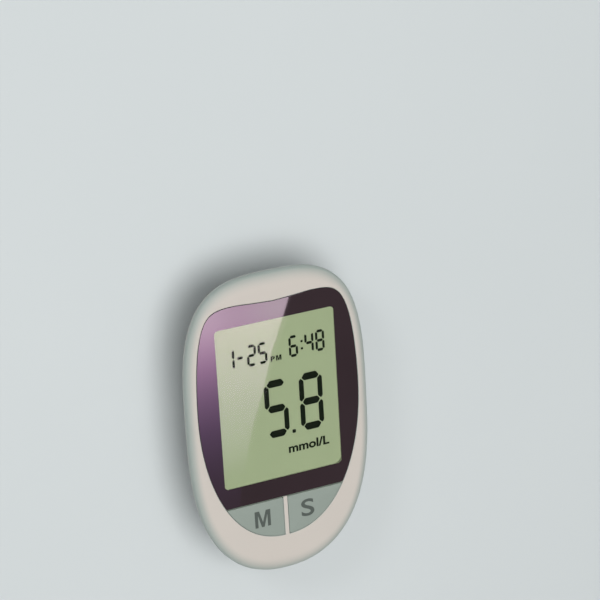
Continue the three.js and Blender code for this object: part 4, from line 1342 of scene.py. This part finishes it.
def thrown(x, y, mirrorZ, height):
    # where a ray from the camera that mirrors in a level at a point meets another level above it
    eye = np.array(shot["place"])
    share = height / (eye[2] - mirrorZ)
    z = np.full(x.shape, mirrorZ + height)
    return np.stack([x + share * (x - eye[0]), y + share * (y - eye[1]), z], -1)


def onlyMirrored(card, glossy, transmission):
    # seen by mirrored rays alone: straight ones, those that come through the pane, or both
    card.visible_glossy = glossy
    card.visible_transmission = transmission
    for rays in ("camera", "diffuse", "volume_scatter", "shadow"):
        setattr(card, f"visible_{rays}", False)


def glareCard(name, receiver, mirrorZ, height, strength, through=False):
    down, across = np.linspace(glare["top"], glare["low"], 60), np.linspace(0, 1, 16)
    y, share = np.meshgrid(down, across, indexing="ij")
    x = glare["left"] + (np.interp(-y, -edgeLine[:, 1], edgeLine[:, 0]) - glare["left"]) * share
    # the glare's outline lies on the face, and a lower mirror sees it further along its ray
    deeper = (faceZ - mirrorZ) / (shot["place"][2] - faceZ)
    mirrorX, mirrorY = (v + deeper * (v - eye) for v, eye in zip((x, y), shot["place"]))
    points = thrown(mirrorX, mirrorY, mirrorZ, height).reshape(-1, 3)
    at = np.arange(x.size).reshape(x.shape)
    quads = np.stack([at[:-1, :-1], at[:-1, 1:], at[1:, 1:], at[1:, :-1]], -1).reshape(-1, 4)
    tree, shader = newFinish(name)
    tree.nodes.remove(shader)
    tone = newNode(tree, "ShaderNodeAttribute", attribute_name="tone").outputs["Color"]
    light = newNode(tree, "ShaderNodeEmission", {"Color": tone})
    clear = newNode(tree, "ShaderNodeBsdfTransparent")
    both = newNode(tree, "ShaderNodeAddShader", {0: light.outputs[0], 1: clear.outputs[0]})
    fill(tree.nodes["Material Output"], {"Surface": both.outputs["Shader"]})
    card = newPiece(name, meshOf((points, [quads])), name)
    colour = np.column_stack([strength(x.ravel(), y.ravel()), np.ones(x.size)])
    tones = card.data.attributes.new("tone", "FLOAT_COLOR", "POINT")
    tones.data.foreach_set("color", colour.astype(np.float32).ravel())
    onlyMirrored(card, not through, through)
    shown = bpy.data.collections.new(f"{name} receivers")
    shown.objects.link(receiver)
    card.light_linking.receiver_collection = shown


def borderGlare(x, y):
    # falls from the top as exp(-(d/20)^1.45): paler at the top and the slanted edge, bluer lower down
    d = np.maximum(0, 36.0 - y)
    level = 10.9 * np.exp(-((d / 20.0) ** 1.45)) * (1 - 0.14 * np.clip((x + 20.5) / 8, 0, 1))
    green = 0.55 + 0.14 * np.clip((y - 22) / 14, 0, 1) + 0.09 * np.clip((x + 10) / 10, 0, 1)
    blue = 0.92 + 0.35 * (d / 34.0) ** 2
    return np.stack([level, level * green, level * blue], -1)


def displayGlare(x, y):
    # falls evenly from the window's top to its lower end, a little bluer on its way down
    fall = (31.0 - y) / 45.0
    level = 5.45 * np.clip(1 - fall, 0, 1.1)
    return np.stack([level, level * 0.71, level * (0.92 + 0.25 * fall)], -1)


glareCard("border glare card", lensBorderPiece, faceZ, glare["height"], borderGlare)
glareCard("display glare card", lensWindowPiece, glassTop, glare["height"] - 5, displayGlare, True)


def darkFlag():
    # a dark card behind the lit ones, so that the rest of the lens mirrors nothing bright
    x = np.array([-38.0, 38.0, 38.0, -38.0])
    y = np.array([-45.0, -45.0, 52.0, 52.0])
    tree, shader = newFinish("flagBlack")
    fill(shader, {"Base Color": (0.0, 0.0, 0.0, 1), "Specular IOR Level": 0.0})
    corners = thrown(x, y, faceZ, glare["height"] + 3)
    flag = newPiece("dark flag", meshOf((corners, [np.array([[0, 1, 2, 3]])])), "flagBlack")
    onlyMirrored(flag, True, True)


darkFlag()

bpy.context.scene.view_settings.view_transform = "Standard"

print("stage: done")
